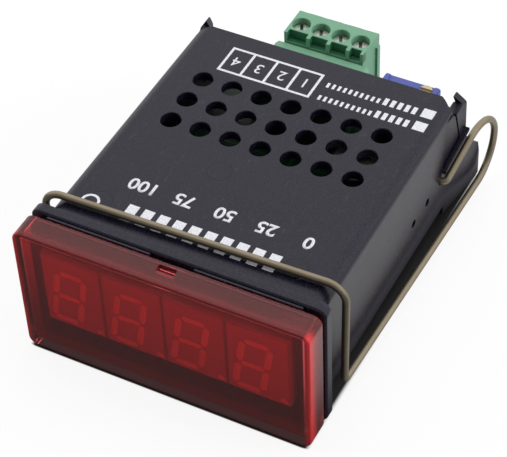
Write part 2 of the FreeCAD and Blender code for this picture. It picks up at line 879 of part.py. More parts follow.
def angle_pin(name, across, width, start, bend, level):
    """Square pin with a level run from start to bend and a tail down through the board."""
    half = "%s / 2" % width
    left = "%s - %s" % (across, half)
    front = start if size(start) < size(bend) else bend
    run = block(name + "_run", (left, front, "%s - %s" % (level, half)),
                (width, "abs(%s - (%s)) + %s" % (bend, start, half), width))
    tail = block(name + "_tail", (left, "%s - %s" % (bend, half), "tail_bottom"),
                 (width, width, "%s + %s - tail_bottom" % (level, half)))
    if front == bend:
        bind(run, "Placement.Base.y", "%s - %s" % (bend, half))
    return fused(name, [run, tail])


def build_link():
    strip = block("strip_block", ("-link_pins * link_pitch / 2", "strip_front", "main_top"),
                  ("link_pins * link_pitch", "strip_size", "strip_size"))
    pins = []
    passages = []
    for number in range(size_count("link_pins")):
        across = "(%d - (link_pins - 1) / 2) * link_pitch" % number
        pins.append(angle_pin("link_pin_%d" % number, across, "link_pin",
                              PANEL_FRONT + " + link_start", "link_bend_y", "link_z"))
        passages.append(block("link_passage_%d" % number,
                              (across + " - link_pin / 2", "strip_front", "link_z - link_pin / 2"),
                              ("link_pin", "strip_size", "link_pin")))
    hand_in(carved("link_strip", strip, passages), "link_strip")
    hand_in(gathered("link_pins_group", pins), "link_pins")


# Pieces on the main board

def build_chip():
    body = new_body("controller_chip")
    case = new_sketch(body, "XY_Plane", "chip_outline", "chip_lift")
    draw_centred(case, "chip_width", "chip_depth")
    pad(body, case, "chip_height")
    top = "chip_lift + chip_height"

    def upper_rim(edge):
        box = edge.BoundBox
        return box.ZMin > size(top) - NEAR
    dress(body, "Chamfer", "chip_rim", "Size", "chip_bevel", upper_rim)
    lead = new_sketch(body, "YZ_Plane", "chip_lead", "-(lead_count - 1) / 2 * lead_pitch")
    side = "chip_depth / 2"
    shape = [(side, "lead_rise"), (side + " + lead_knee", "lead_depth"),
             (side + " + lead_reach", "lead_depth"), (side + " + lead_reach", "0"),
             (side + " + lead_knee - lead_depth", "0"),
             (side, "lead_rise - 2 * lead_depth")]
    draw_both_sides(lead, shape)
    first_lead = pad(body, lead, "lead_width", symmetric=True)
    repeat(body, first_lead, "chip_leads", "X_Axis", "lead_count", "lead_pitch")
    for axis, text in zip("xyz", ("chip_x", "chip_y", "main_top")):
        bind(body, "Placement.Base." + axis, text)
    hand_in(body, "controller_chip")


def build_regulator():
    left = "regulator_x - regulator_width / 2"
    front = "regulator_y - regulator_depth / 2"
    rear = "regulator_y + regulator_depth / 2"
    pieces = [
        block("regulator_case", (left, front, "main_top"),
              ("regulator_width", "regulator_depth", "regulator_height")),
        block("regulator_tab", ("regulator_x - tab_width / 2", rear, "main_top"),
              ("tab_width", "tab_depth", "tab_height")),
    ]
    for side, offset in (("left", "-foot_offset"), ("right", "foot_offset")):
        foot_left = "regulator_x + (%s) - foot_width / 2" % offset
        pieces.append(block(side + "_foot", (foot_left, front + " - foot_depth", "main_top"),
                            ("foot_width", "foot_depth", "tab_height")))
    hand_in(fused("voltage_regulator", pieces), "voltage_regulator")


def turned(body, name, profile):
    """Solid of revolution about the body's own Z axis."""
    sketch = new_sketch(body, "XZ_Plane", name)
    draw_polygon(sketch, profile)
    feature = body.newObject("PartDesign::Revolution", name + "_turn")
    feature.Profile = sketch
    feature.ReferenceAxis = (sketch, ["V_Axis"])
    feature.Angle = 360
    return finish_feature(body, feature)


def build_capacitor():
    body = new_body("smoothing_capacitor")
    turned(body, "can_profile", [
        ("0", "0"), ("can_radius", "0"), ("can_radius", "crimp_low"),
        ("can_radius - crimp_depth", "crimp_low + crimp_half"), ("can_radius", "crimp_low + 2 * crimp_half"),
        ("can_radius", "can_height - can_bevel"), ("can_radius - can_bevel", "can_height"),
        ("0", "can_height"),
    ])
    for axis, text in zip("xyz", ("can_x", "can_y", "main_top")):
        bind(body, "Placement.Base." + axis, text)
    hand_in(body, "smoothing_capacitor")


def build_trimmer():
    body = new_body("trimmer_body")
    case = new_sketch(body, "XY_Plane", "trimmer_outline", "main_top")
    draw_rectangle(case, "trimmer_x", "trimmer_x + trimmer_width", "trimmer_y", "trimmer_y + trimmer_depth")
    pad(body, case, "trimmer_top - main_top")

    def upright(edge):
        box = edge.BoundBox
        return box.ZLength > size("nub_rise")
    dress(body, "Chamfer", "trimmer_corners", "Size", "trimmer_bevel", upright)
    nubs = new_sketch(body, "XY_Plane", "trimmer_nubs", "trimmer_top")
    rear = "trimmer_y + trimmer_depth - trimmer_bevel"
    for left in ("trimmer_x + trimmer_bevel", "trimmer_x + trimmer_width - trimmer_bevel - nub_width"):
        draw_rectangle(nubs, left, left + " + nub_width", rear + " - nub_depth", rear)
    pad(body, nubs, "nub_rise")
    bore = new_sketch(body, "XY_Plane", "adjuster_bore", "trimmer_top")
    draw_circle(bore, "adjuster_x", "adjuster_y", "adjuster_hole")
    pocket(body, bore, "trimmer_top - adjuster_floor")
    hand_in(body, "trimmer_body")

    screw = new_body("trimmer_screw")
    turned(screw, "adjuster_profile", [("0", "adjuster_floor"), ("adjuster_radius", "adjuster_floor"),
                                       ("adjuster_radius", "adjuster_top"), ("0", "adjuster_top")])
    slot = new_sketch(screw, "XY_Plane", "adjuster_slot_outline", "adjuster_top")
    draw_centred(slot, "3 * adjuster_radius", "adjuster_slot")
    pocket(screw, slot, "adjuster_slot_depth")
    for axis, text in zip("xy", ("adjuster_x", "adjuster_y")):
        bind(screw, "Placement.Base." + axis, text)
    hand_in(screw, "trimmer_screw")


# Terminal

def build_header():
    left = "plug_x - header_width / 2"
    case = block("header_block", (left, "header_front", "main_top"),
                 ("header_width", "header_depth", "header_top - main_top"))

    def top_side(edge):
        box = edge.BoundBox
        high = box.ZMin > size("header_top") - NEAR
        return high and box.YLength > size("header_bevel")
    case = bevelled("header_case", case, "header_bevel", top_side)
    cavity_left = "plug_x - header_cavity_width / 2"
    tools = [block("header_cavity", (cavity_left, "header_cavity_front", "header_floor"),
                   ("header_cavity_width", "header_depth", "header_ceiling - header_floor"))]
    pins = []
    for number, across in enumerate(POLES):
        tools.append(block("pin_passage_%d" % number,
                           (across + " - pin_hole / 2", "header_front", "pin_z - pin_hole / 2"),
                           ("pin_hole", "header_depth", "pin_hole")))
        pins.append(angle_pin("header_pin_%d" % number, across, "pin_size", "pin_tip",
                              "pin_tail_y + pin_size / 2", "pin_z"))
    hand_in(carved("header_shell", case, tools), "terminal_header")
    hand_in(gathered("header_pins_group", pins), "header_pins")


def pole_tools(number, across):
    """All that is cut from the plug for one pole."""
    name = "pole_%d_" % number
    funnel = doc.addObject("Part::Wedge", name + "funnel")
    half = "entry_width / 2"
    for setting, text in (("Xmin", "-" + half), ("Xmax", half), ("Zmin", "0"), ("Zmax", "entry_height"),
                          ("Ymin", "0"), ("Ymax", "funnel_depth"),
                          ("X2min", "-%s - funnel_grow" % half), ("X2max", half + " + funnel_grow"),
                          ("Z2min", "-funnel_grow"), ("Z2max", "entry_height + funnel_grow")):
        bind(funnel, setting, text)
    for axis, text in zip("xyz", (across, "plug_rear - funnel_depth", "entry_bottom")):
        bind(funnel, "Placement.Base." + axis, text)
    return [
        funnel,
        drill(name + "well", (across, "screw_y", "well_floor"), "well_radius", "well_sides",
              "plug_top - well_floor"),
        drill(name + "neck", (across, "screw_y", "chamber_floor"), "neck_radius", "neck_sides",
              "plug_top - chamber_floor"),
        block(name + "chamber", (across + " - chamber_half_width", "chamber_front", "chamber_floor"),
              ("2 * chamber_half_width", "chamber_depth", "chamber_top - chamber_floor")),
        block(name + "nick", (across + " + nick_shift - nick_width / 2", "plug_rear - nick_depth",
                              "plug_top - nick_sink"), ("nick_width", "nick_depth", "nick_sink")),
        block(name + "entry", (across + " - entry_width / 2", "chamber_front", "entry_bottom"),
              ("entry_width", "plug_rear - chamber_front", "entry_height")),
        block(name + "passage", (across + " - passage_width / 2", "passage_front", "passage_floor"),
              ("passage_width", "chamber_front - passage_front", "passage_top - passage_floor")),
        block(name + "mouth", (across + " - mouth_size / 2", "tongue_front", "pin_z - mouth_size / 2"),
              ("mouth_size", "passage_front - tongue_front", "mouth_size")),
    ]


def build_plug():
    left = "plug_x - plug_width / 2"
    head = block("plug_block", (left, "plug_front", "plug_bottom"),
                 ("plug_width", "plug_rear - plug_front", "plug_top - plug_bottom"))

    def rear_top(edge):
        box = edge.BoundBox
        level = box.ZMin > size("plug_top") - NEAR or box.ZMax < size("plug_bottom") + NEAR
        return level and box.YMin > size("plug_rear") - NEAR
    head = bevelled("plug_head", head, "plug_bevel", rear_top)
    tongue = block("plug_tongue", ("plug_x - tongue_width / 2", "tongue_front", "tongue_bottom"),
                   ("tongue_width", "plug_front - tongue_front", "tongue_top - tongue_bottom"))
    rib = block("plug_side_rib", (left + " - side_rib_rise", "side_rib_front", "plug_bottom"),
                ("plug_width + 2 * side_rib_rise", "side_rib_depth", "side_rib_top - plug_bottom"))
    ribs = [across + " + pole_pitch / 2 + comb_shift" for across in POLES[:-1]]
    starts = [left + " + comb_wall"] + [rib + " + comb_rib / 2" for rib in ribs]
    ends = [rib + " - comb_rib / 2" for rib in ribs] + [left + " + plug_width - comb_wall"]
    tools = []
    for number, across in enumerate(POLES):
        tools += pole_tools(number, across)
        tools.append(block("comb_gap_%d" % number, (starts[number], "plug_front", "comb_floor"),
                           ("%s - (%s)" % (ends[number], starts[number]), "comb_depth",
                            "plug_top - comb_floor")))
    hand_in(carved("plug_shell", fused("plug_solid", [head, tongue, rib]), tools), "terminal_plug")


def build_contacts():
    contacts = []
    for number, across in enumerate(POLES):
        name = "contact_%d" % number
        left = across + " - contact_width / 2"
        contacts.append(fused(name, [
            block(name + "_bar", (left, "web_front", "bar_bottom"),
                  ("contact_width", "bar_rear - web_front", "bar_depth")),
            block(name + "_web", (left, "web_front", "passage_floor"),
                  ("contact_width", "web_depth", "bar_bottom - passage_floor + bar_depth")),
            block(name + "_upper", (left, "leaf_front", "bar_bottom"),
                  ("contact_width", "web_front - leaf_front", "leaf_depth")),
            block(name + "_lower", (left, "leaf_front", "passage_floor"),
                  ("contact_width", "web_front - leaf_front", "leaf_depth")),
        ]))
    hand_in(gathered("plug_contacts_group", contacts), "plug_contacts")


def build_cage(number, across):
    name = "clamp_cage_%d" % number
    front = "screw_y - cage_depth / 2"
    case = block(name + "_block", (across + " - cage_width / 2", front, "cage_bottom"),
                 ("cage_width", "cage_depth", "cage_height"))
    window = block(name + "_window", (across + " - cage_window / 2", front, "cage_bottom + cage_base"),
                   ("cage_window", "cage_depth", "cage_height - cage_base - cage_cap"))
    bore = drill(name + "_bore", (across, "screw_y", "cage_bottom + cage_base"), "cage_bore", "bore_sides",
                 "cage_height")
    hand_in(carved(name + "_tube", case, [window, bore]), name)


def build_screw(number, across):
    name = "terminal_screw_%d" % number
    body = new_body(name)
    head_top = "screw_seat + screw_head_height"
    turned(body, name + "_profile", [
        ("0", "screw_tip"), ("screw_shank", "screw_tip"), ("screw_shank", "screw_seat"),
        ("screw_head", "screw_seat"), ("screw_head", head_top), ("0", head_top),
    ])
    slot = new_sketch(body, "XY_Plane", name + "_slot", head_top)
    draw_centred(slot, "3 * screw_head", "screw_slot")
    pocket(body, slot, "screw_slot_depth")
    body.Placement.Rotation = FreeCAD.Rotation(FreeCAD.Vector(0, 0, 1), size("screw_turn"))
    for axis, text in zip("xy", (across, "screw_y")):
        bind(body, "Placement.Base." + axis, text)
    hand_in(body, name)


build_lens()
build_housing()
build_clip()
for digit in range(size_count("digit_count")):
    build_digit(digit + 1)
build_boards()
build_link()
build_chip()
build_regulator()
build_capacitor()
build_trimmer()
build_header()
build_plug()
build_contacts()
for pole, place_x in enumerate(POLES, start=1):
    build_cage(pole, place_x)
    build_screw(pole, place_x)

doc.recompute()
for item in doc.Objects:
    if "Invalid" in item.State or "Error" in item.State:
        raise RuntimeError(item.Label + " did not build")
os.makedirs("parts", exist_ok=True)
for node in nodes:
    if node.Shape.isNull() or not node.Shape.isValid():
        raise RuntimeError(node.Label + " has no sound shape")
    node.Shape.exportStep("parts/" + node.Label + ".step")
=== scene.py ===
import json
import math

import bmesh
import bpy
from mathutils import Matrix, Vector


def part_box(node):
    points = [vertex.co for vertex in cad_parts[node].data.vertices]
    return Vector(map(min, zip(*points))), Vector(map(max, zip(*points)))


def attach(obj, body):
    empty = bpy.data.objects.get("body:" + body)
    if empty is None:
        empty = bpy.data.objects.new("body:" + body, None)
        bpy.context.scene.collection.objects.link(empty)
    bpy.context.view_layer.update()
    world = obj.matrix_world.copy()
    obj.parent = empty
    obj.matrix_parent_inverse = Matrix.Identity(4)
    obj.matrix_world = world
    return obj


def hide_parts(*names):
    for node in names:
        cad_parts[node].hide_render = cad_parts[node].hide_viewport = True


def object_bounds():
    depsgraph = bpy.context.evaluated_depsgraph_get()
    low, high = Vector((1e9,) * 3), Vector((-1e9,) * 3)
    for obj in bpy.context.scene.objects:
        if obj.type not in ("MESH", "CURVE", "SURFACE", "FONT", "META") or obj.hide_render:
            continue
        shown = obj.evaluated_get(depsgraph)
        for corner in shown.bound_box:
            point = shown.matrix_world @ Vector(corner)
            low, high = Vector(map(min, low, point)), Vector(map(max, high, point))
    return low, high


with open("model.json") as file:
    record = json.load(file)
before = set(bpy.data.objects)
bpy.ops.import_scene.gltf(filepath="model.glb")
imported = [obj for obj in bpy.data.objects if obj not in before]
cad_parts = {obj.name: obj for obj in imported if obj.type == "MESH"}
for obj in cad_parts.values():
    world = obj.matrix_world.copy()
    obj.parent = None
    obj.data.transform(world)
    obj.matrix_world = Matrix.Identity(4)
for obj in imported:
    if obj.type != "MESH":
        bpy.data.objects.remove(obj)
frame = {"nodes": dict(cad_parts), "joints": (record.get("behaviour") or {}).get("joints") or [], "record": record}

# Panel meter with a red lens, a vented dark case, a bent wire clip and a plug-in screw terminal.
# Lengths are metres, in the frame of the solids: X to the right, Y to the rear, Z up.

MM = 0.001
RIGHT = Vector((1, 0, 0))
REAR = Vector((0, 1, 0))
UP = Vector((0, 0, 1))

solids = frame["nodes"]
solid_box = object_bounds()


# Working with meshes

CREASE = math.radians(35)
FLAT = math.radians(0.5)
LONG_CREASE = 0.9 * MM
SAME_POINT = 0.002 * MM
PARALLEL = 0.999
SAME_WAY = 0.9
ROUNDING_STEPS = 2
FLAT_FACE_WEIGHT = 100
DRILL_SIDES = 48


def put_down():
    """Object mode, with nothing selected."""
    if bpy.context.object and bpy.context.object.mode != "OBJECT":
        bpy.ops.object.mode_set(mode="OBJECT")
    bpy.ops.object.select_all(action="DESELECT")


def take(piece):
    """Object mode, with one piece selected."""
    put_down()
    piece.select_set(True)
    bpy.context.view_layer.objects.active = piece


def settle(piece, name):
    """Names a new piece and moves its place into its mesh."""
    piece.name = name
    take(piece)
    bpy.ops.object.transform_apply(location=True, rotation=True, scale=True)
    return piece


def block(name, low, high):
    """Box between two corners."""
    put_down()
    bpy.ops.mesh.primitive_cube_add(size=1, location=(low + high) / 2, scale=high - low)
    return settle(bpy.context.object, name)


def sheet_of(name, low, high, level):
    """Flat rectangle at a height, facing up."""
    put_down()
    middle = ((low[0] + high[0]) / 2, (low[1] + high[1]) / 2, level)
    bpy.ops.mesh.primitive_plane_add(size=1, location=middle)
    sheet = bpy.context.object
    sheet.scale = (high[0] - low[0], high[1] - low[1], 1)
    return settle(sheet, name)


def choose(piece, kind, wanted):
    """Edit mode with only the wanted vertices, edges or faces selected."""
    take(piece)
    bpy.ops.object.mode_set(mode="EDIT")
    bpy.ops.mesh.select_mode(type=kind)
    bpy.ops.mesh.select_all(action="DESELECT")
    mesh = bmesh.from_edit_mesh(piece.data)
    items = {"VERT": mesh.verts, "EDGE": mesh.edges, "FACE": mesh.faces}[kind]
    for item in items:
        if wanted(item):
            item.select_set(True)
    mesh.select_flush_mode()
    bmesh.update_edit_mesh(piece.data)


def along(direction):
    """Test for edges that run along a direction."""
    def wanted(edge):
        run = edge.verts[1].co - edge.verts[0].co
        return abs(run.normalized().dot(direction)) > PARALLEL
    return wanted


def facing(direction):
    """Test for faces that look in a direction."""
    return lambda face: face.normal.dot(direction) > SAME_WAY


def in_plane(direction, level):
    """Test for edges that lie in one plane across a direction."""
    return lambda edge: all(abs(end.co.dot(direction) - level) < SAME_POINT for end in edge.verts)


def crease(edge):
    """Test for edges where two faces meet at an angle."""
    return len(edge.link_faces) == 2 and edge.calc_face_angle() > CREASE


def long_crease(edge):
    """Test for creases that are long enough to round."""
    return crease(edge) and edge.calc_length() > LONG_CREASE


def merge_points(piece, nearest=SAME_POINT):
    """Edit mode with the whole piece selected and its doubled points merged."""
    take(piece)
    bpy.ops.object.mode_set(mode="EDIT")
    bpy.ops.mesh.select_all(action="SELECT")
    bpy.ops.mesh.remove_doubles(threshold=nearest)


def apply_modifier(piece, kind, settings):
    """Adds a modifier with its settings and applies it."""
    take(piece)
    added = piece.modifiers.new(kind.lower(), kind)
    for name, value in settings.items():
        setattr(added, name, value)
    bpy.ops.object.modifier_apply(modifier=added.name)


def cut_away(piece, cutter):
    """Takes the cutter's shape out of a piece and removes the cutter."""
    apply_modifier(piece, "BOOLEAN", {"operation": "DIFFERENCE", "solver": "EXACT", "object": cutter})
    bpy.data.objects.remove(cutter)


def flared_drill(name, top, radius, length, rim):
    """Upright round cutter that widens round its top, for a hole with a chamfered rim."""
    put_down()
    bpy.ops.mesh.primitive_cylinder_add(vertices=DRILL_SIDES, radius=radius, depth=length,
                                        location=top - UP * (rim + length / 2))
    drill = settle(bpy.context.object, name)
    flare = 2 * rim
    grow = 1 + flare / radius
    choose(drill, "FACE", facing(UP))
    bpy.ops.mesh.extrude_region_move(TRANSFORM_OT_translate={"value": UP * flare})
    bpy.ops.transform.resize(value=(grow, grow, 1), center_override=top)
    put_down()
    return drill


def round_edges(piece, width, wanted=crease):
    """Rounds the wanted edges of a piece."""
    choose(piece, "EDGE", wanted)
    bpy.ops.mesh.bevel(offset=width, segments=ROUNDING_STEPS, affect="EDGES", clamp_overlap=False)


def smooth(piece):
    """Smooth shading that leaves the large faces flat."""
    take(piece)
    bpy.ops.object.shade_smooth_by_angle(angle=CREASE)
    apply_modifier(piece, "WEIGHTED_NORMAL", {"weight": FLAT_FACE_WEIGHT, "keep_sharp": True})


def join(pieces, name):
    """One piece made of several."""
    put_down()
    for piece in pieces:
        piece.select_set(True)
    bpy.context.view_layer.objects.active = pieces[0]
    bpy.ops.object.join()
    pieces[0].name = name
    return pieces[0]


def copy_of(piece, offset):
    """A copy with its own mesh, moved by an offset."""
    take(piece)
    bpy.ops.object.duplicate()
    twin = bpy.context.object
    twin.location = offset
    return settle(twin, piece.name)


def row_of(piece, count, step):
    """The piece and its copies, each one step further on."""
    return [piece] + [copy_of(piece, step * number) for number in range(1, count)]


def clean_copy(solid, name, whole_faces=True):
    """A copy of a solid's mesh in one skin, its triangles joined into whole faces where wanted."""
    piece = bpy.data.objects.new(name, solids[solid].data.copy())
    bpy.context.scene.collection.objects.link(piece)
    take(piece)
    bpy.ops.mesh.customdata_custom_splitnormals_clear()
    merge_points(piece)
    if whole_faces:
        bpy.ops.mesh.dissolve_limited(angle_limit=FLAT)
    put_down()
    return piece


def wear(piece, finish):
    """Gives a piece its one material."""
    piece.data.materials.clear()
    piece.data.materials.append(finish)


def dress(piece, finish, body, stands_for=()):
    """Gives a finished piece its material and the body that it moves with, and hides the solids that it stands
    for.
    """
    wear(piece, finish)
    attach(piece, body)
    if stands_for:
        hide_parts(*stands_for)


# Working with materials

# Sockets of a Mix node that carry colours
MIX_FACTOR = 0
MIX_FIRST = 6
MIX_SECOND = 7
MIX_RESULT = 2


class Wire:
    """A socket in a node tree. Sums on it add Math nodes, and node() adds any other."""

    def __init__(self, tree, socket=None):
        self.tree = tree
        self.socket = socket

    def node(self, kind, settings=None, inputs=None, output=0):
        """Adds a node of a type, sets it, feeds its sockets with values or wires and gives one output."""
        made = self.tree.nodes.new("ShaderNode" + kind)
        for name, value in (settings or {}).items():
            setattr(made, name, value)
        for name, value in (inputs or {}).items():
            if isinstance(value, Wire):
                self.tree.links.new(value.socket, made.inputs[name])
            else:
                made.inputs[name].default_value = value
        return Wire(self.tree, made.outputs[output] if made.outputs else None)

    def math(self, operation, *values):
        """Adds a Math node."""
        return self.node("Math", {"operation": operation}, dict(enumerate(values)))

    def __add__(self, other):
        return self.math("ADD", self, other)

    def __sub__(self, other):
        return self.math("SUBTRACT", self, other)

    def __rsub__(self, other):
        return self.math("SUBTRACT", other, self)

    def __mul__(self, other):
        return self.math("MULTIPLY", self, other)

    def __truediv__(self, other):
        return self.math("DIVIDE", self, other)

    def __gt__(self, other):
        return self.math("GREATER_THAN", self, other)

    def __lt__(self, other):
        return self.math("LESS_THAN", self, other)

    __radd__ = __add__
    __rmul__ = __mul__

    def size(self):
        """The value without its sign."""
        return self.math("ABSOLUTE", self)

    def root(self):
        """The square root of the value."""
        return self.math("SQRT", self)

    def at_least(self, low):
        """The value, or low where that is more."""
        return self.math("MAXIMUM", self, low)

    def fold(self, width):
        """Rises and falls between 0 and the width."""
        return self.math("PINGPONG", self, width)

    def between(self, low, high):
        """Low where this is 0, high where it is 1."""
        return low + self * (high - low)

    def ramp(self, low, high):
        """0 below low, 1 above high, with a soft step between."""
        return self.node("MapRange", {"interpolation_type": "SMOOTHSTEP"},
                         {"Value": self, "From Min": low, "From Max": high})

    def place(self):
        """The point on the piece, in metres."""
        return self.node("TexCoord", output="Object")

    def parts(self):
        """The three numbers of a vector."""
        split = self.node("SeparateXYZ", inputs={"Vector": self})
        return [Wire(self.tree, socket) for socket in split.socket.node.outputs]

    def noise(self, patch, detail=2.0, stretch=(1, 1, 1)):
        """Uneven 0 to 1 over the piece, with patches of about the given size."""
        spot = self.node("Mapping", inputs={"Vector": self.place(), "Scale": stretch})
        return self.node("TexNoise", inputs={"Vector": spot, "Scale": 1 / patch, "Detail": detail})

    def mix(self, first, second):
        """First colour where this is 0, second where it is 1."""
        return self.node("Mix", {"data_type": "RGBA"},
                         {MIX_FACTOR: self, MIX_FIRST: first, MIX_SECOND: second}, output=MIX_RESULT)

    def blend(self, first, second):
        """First shader where this is 0, second where it is 1."""
        return self.node("MixShader", inputs={0: self, 1: first, 2: second})

    def bump(self, depth, strength):
        """Relief of the given depth from this height."""
        return self.node("Bump", inputs={"Height": self, "Distance": depth, "Strength": strength})


def colour(red, green, blue):
    """Opaque colour, in linear values."""
    return (red, green, blue, 1.0)


WHITE = colour(1, 1, 1)
BLACK = colour(0, 0, 0)


def new_finish(name):
    """A material with no nodes, and a wire to start them from."""
    finish = bpy.data.materials.new(name)
    finish.use_nodes = True
    finish.node_tree.nodes.clear()
    return finish, Wire(finish.node_tree)


def close_finish(start, skin):
    """Ends a material in one Principled shader with the given sockets."""
    shader = start.node("BsdfPrincipled", inputs=skin)
    start.node("OutputMaterial", inputs={"Surface": shader})


# Case

CASE_TOP = 10.75 * MM
CASE_EDGE = 0.1 * MM
ROOF_WALL = 1.5 * MM
VENT_RADIUS = 1.64 * MM
VENT_RIM = 0.1 * MM
VENT_COLUMNS = 7
VENT_ROWS = 3
VENT_PITCH_X = 5.13 * MM
VENT_PITCH_Y = 5.2 * MM
VENT_FRONT_Y = 25.0 * MM
FLANGE_FRONT = -2.0 * MM
FLANGE_REAR = 0.2 * MM
FLARE_FRONT = 44.2 * MM
OUTER_X = 22.0 * MM
OUTER_Z = 10.6 * MM
OUTLINE_LENGTH = 5.0 * MM
MOULD_MARKS = [(-16.2 * MM, 5.0 * MM), (-3.1 * MM, 17.9 * MM), (15.9 * MM, 4.9 * MM)]
MARK_RADIUS = 1.9 * MM
MARK_LINE = 0.2 * MM
MARK_DEPTH = 1.5        # times the height of the grain
SCUFF_DULLING = 0.08


def case_outline(edge):
    """Test for the edges of the flange and the long outer edges at the open rear."""
    ends = [end.co for end in edge.verts]
    flange = all(FLANGE_FRONT < end.y < FLANGE_REAR for end in ends)
    outer = all(end.y > FLARE_FRONT and (abs(end.x) > OUTER_X or abs(end.z) > OUTER_Z) for end in ends)
    return crease(edge) and (flange or (outer and edge.calc_length() > OUTLINE_LENGTH))


def make_case():
    """Case shell with round vents and softened edges."""
    shell = clean_copy("housing", "case_shell")
    first = Vector((-VENT_PITCH_X * (VENT_COLUMNS - 1) / 2, VENT_FRONT_Y, CASE_TOP))
    drill = flared_drill("vent_drill", first, VENT_RADIUS, 2 * ROOF_WALL, VENT_RIM)
    front_row = join(row_of(drill, VENT_COLUMNS, RIGHT * VENT_PITCH_X), "vent_row")
    cut_away(shell, join(row_of(front_row, VENT_ROWS, REAR * VENT_PITCH_Y), "vent_rows"))
    round_edges(shell, CASE_EDGE, case_outline)
    smooth(shell)
    return shell


def case_plastic():
    """Near black moulding with a fine grain, light scuffs and shallow round mould marks on the roof."""
    dark = colour(0.003, 0.002, 0.009)
    pale = colour(0.007, 0.0055, 0.016)
    speck = colour(0.017, 0.015, 0.026)
    scuff = colour(0.022, 0.019, 0.030)
    groove = colour(0.001, 0.001, 0.002)
    finish, start = new_finish("case plastic")
    across, depth, height = start.place().parts()
    mottle = start.noise(patch=2.5 * MM)
    grain = start.noise(patch=0.22 * MM, detail=3.0)
    scuffs = start.noise(patch=0.5 * MM, detail=4.0, stretch=(1, 0.3, 1)).ramp(low=0.58, high=0.78)
    flat_place = start.node("CombineXYZ", inputs={"X": across, "Y": depth})
    marks = 0.0
    for mark_x, mark_y in MOULD_MARKS:
        away = start.node("VectorMath", {"operation": "DISTANCE"}, {0: flat_place, 1: (mark_x, mark_y, 0)},
                          output="Value")
        marks = marks + (1 - (away - MARK_RADIUS).size().ramp(low=0, high=MARK_LINE))
    marks = marks * (height > CASE_TOP - MARK_LINE)
    tone = grain.ramp(low=0.4, high=0.7).mix(mottle.mix(dark, pale), speck)
    close_finish(start, {"Base Color": marks.mix(scuffs.mix(tone, scuff), groove),
                         "Roughness": mottle.between(0.19, 0.27) + scuffs * SCUFF_DULLING,
                         "Specular IOR Level": 0.42,
                         "Normal": (grain - marks * MARK_DEPTH).bump(depth=0.03 * MM, strength=0.5)})
    return finish


# Lens

LENS_LOW, LENS_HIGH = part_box("front_lens")
LENS_CORNER = 1.5 * MM
LENS_CORNER_STEPS = 10
LENS_WALL = 1.3 * MM
LENS_FACE = 1.4 * MM
LENS_RIM = 0.4 * MM
LENS_RIM_STEPS = 4
LENS_REAR_RIM = 0.12 * MM
LENS_GLOSS = 0.42
# Width and strength of the painted glow along the lens's front edges; END_SHARE is its share at the top and bottom
# ends
EDGE_BAND = 1.3 * MM
EDGE_SHARE = 0.85
END_SHARE = 0.1
SLOT_LEFT = -1.3 * MM
SLOT_RIGHT = 1.6 * MM
SLOT_FRONT = -4.7 * MM
SLOT_REAR = -3.5 * MM


def make_lens():
    """Shallow clear tray with rounded corners and a latch slot in its top wall."""
    lens = block("lens_cap", LENS_LOW, LENS_HIGH)
    choose(lens, "EDGE", along(REAR))
    bpy.ops.mesh.bevel(offset=LENS_CORNER, segments=LENS_CORNER_STEPS, affect="EDGES")
    choose(lens, "FACE", facing(REAR))
    bpy.ops.mesh.inset(thickness=LENS_WALL)
    inward = LENS_LOW.y + LENS_FACE - LENS_HIGH.y
    bpy.ops.mesh.extrude_region_move(TRANSFORM_OT_translate={"value": (0, inward, 0)})
    choose(lens, "EDGE", in_plane(REAR, LENS_LOW.y))
    bpy.ops.mesh.bevel(offset=LENS_RIM, segments=LENS_RIM_STEPS, affect="EDGES")
    slot = block("slot_cutter", Vector((SLOT_LEFT, SLOT_FRONT, LENS_HIGH.z - 2 * LENS_WALL)),
                 Vector((SLOT_RIGHT, SLOT_REAR, LENS_HIGH.z + LENS_WALL)))
    cut_away(lens, slot)
    round_edges(lens, LENS_REAR_RIM)
    smooth(lens)
    return lens


def lens_plastic():
    """Clear red polished moulding, with painted shade in its top and bottom walls and a painted glow of opaque
    brighter red along its front edges.
    """
    dark, pale = colour(0.82, 0.13, 0.14), colour(0.88, 0.15, 0.16)
    # Painted shade: a darker red for the top and bottom walls
    painted_shade_tint = colour(0.46, 0.06, 0.065)
    # Painted glow: opaque brighter reds for the front edges
    painted_glow_dark, painted_glow_pale = colour(0.70, 0.03, 0.035), colour(0.78, 0.04, 0.045)
    finish, start = new_finish("lens plastic")
    across, depth, height = start.place().parts()
    sides = across.size().ramp(low=LENS_HIGH.x - EDGE_BAND, high=LENS_HIGH.x - LENS_RIM / 2)
    ends = height.size().ramp(low=LENS_HIGH.z - EDGE_BAND, high=LENS_HIGH.z - LENS_RIM / 2)
    front = 1 - depth.ramp(low=LENS_LOW.y + LENS_RIM, high=LENS_LOW.y + 2 * EDGE_BAND)
    smears = start.noise(patch=4 * MM, detail=3.0).ramp(low=0.45, high=0.7)
    # Painted shade: the top and bottom walls are tinted darker
    tint = ends.mix(start.noise(patch=9 * MM).mix(dark, pale), painted_shade_tint)
    polish = smears.between(0.05, 0.09)
    clear = start.node("BsdfPrincipled", inputs={"Base Color": tint, "Roughness": polish, "IOR": 1.49,
                                                 "Specular IOR Level": LENS_GLOSS,
                                                 "Transmission Weight": 0.94})
    # Painted glow: an opaque red shader that stands in for light carried along the walls to the front edges
    painted_glow = start.node("BsdfPrincipled", inputs={"Base Color": smears.mix(painted_glow_dark, painted_glow_pale),
                                                 "Roughness": polish, "Specular IOR Level": LENS_GLOSS})
    # Where the painted glow takes the place of the clear shader
    glow_band = sides.at_least(ends * END_SHARE) * front * EDGE_SHARE
    start.node("OutputMaterial", inputs={"Surface": glow_band.blend(clear, painted_glow)})
    return finish


# Spring clip

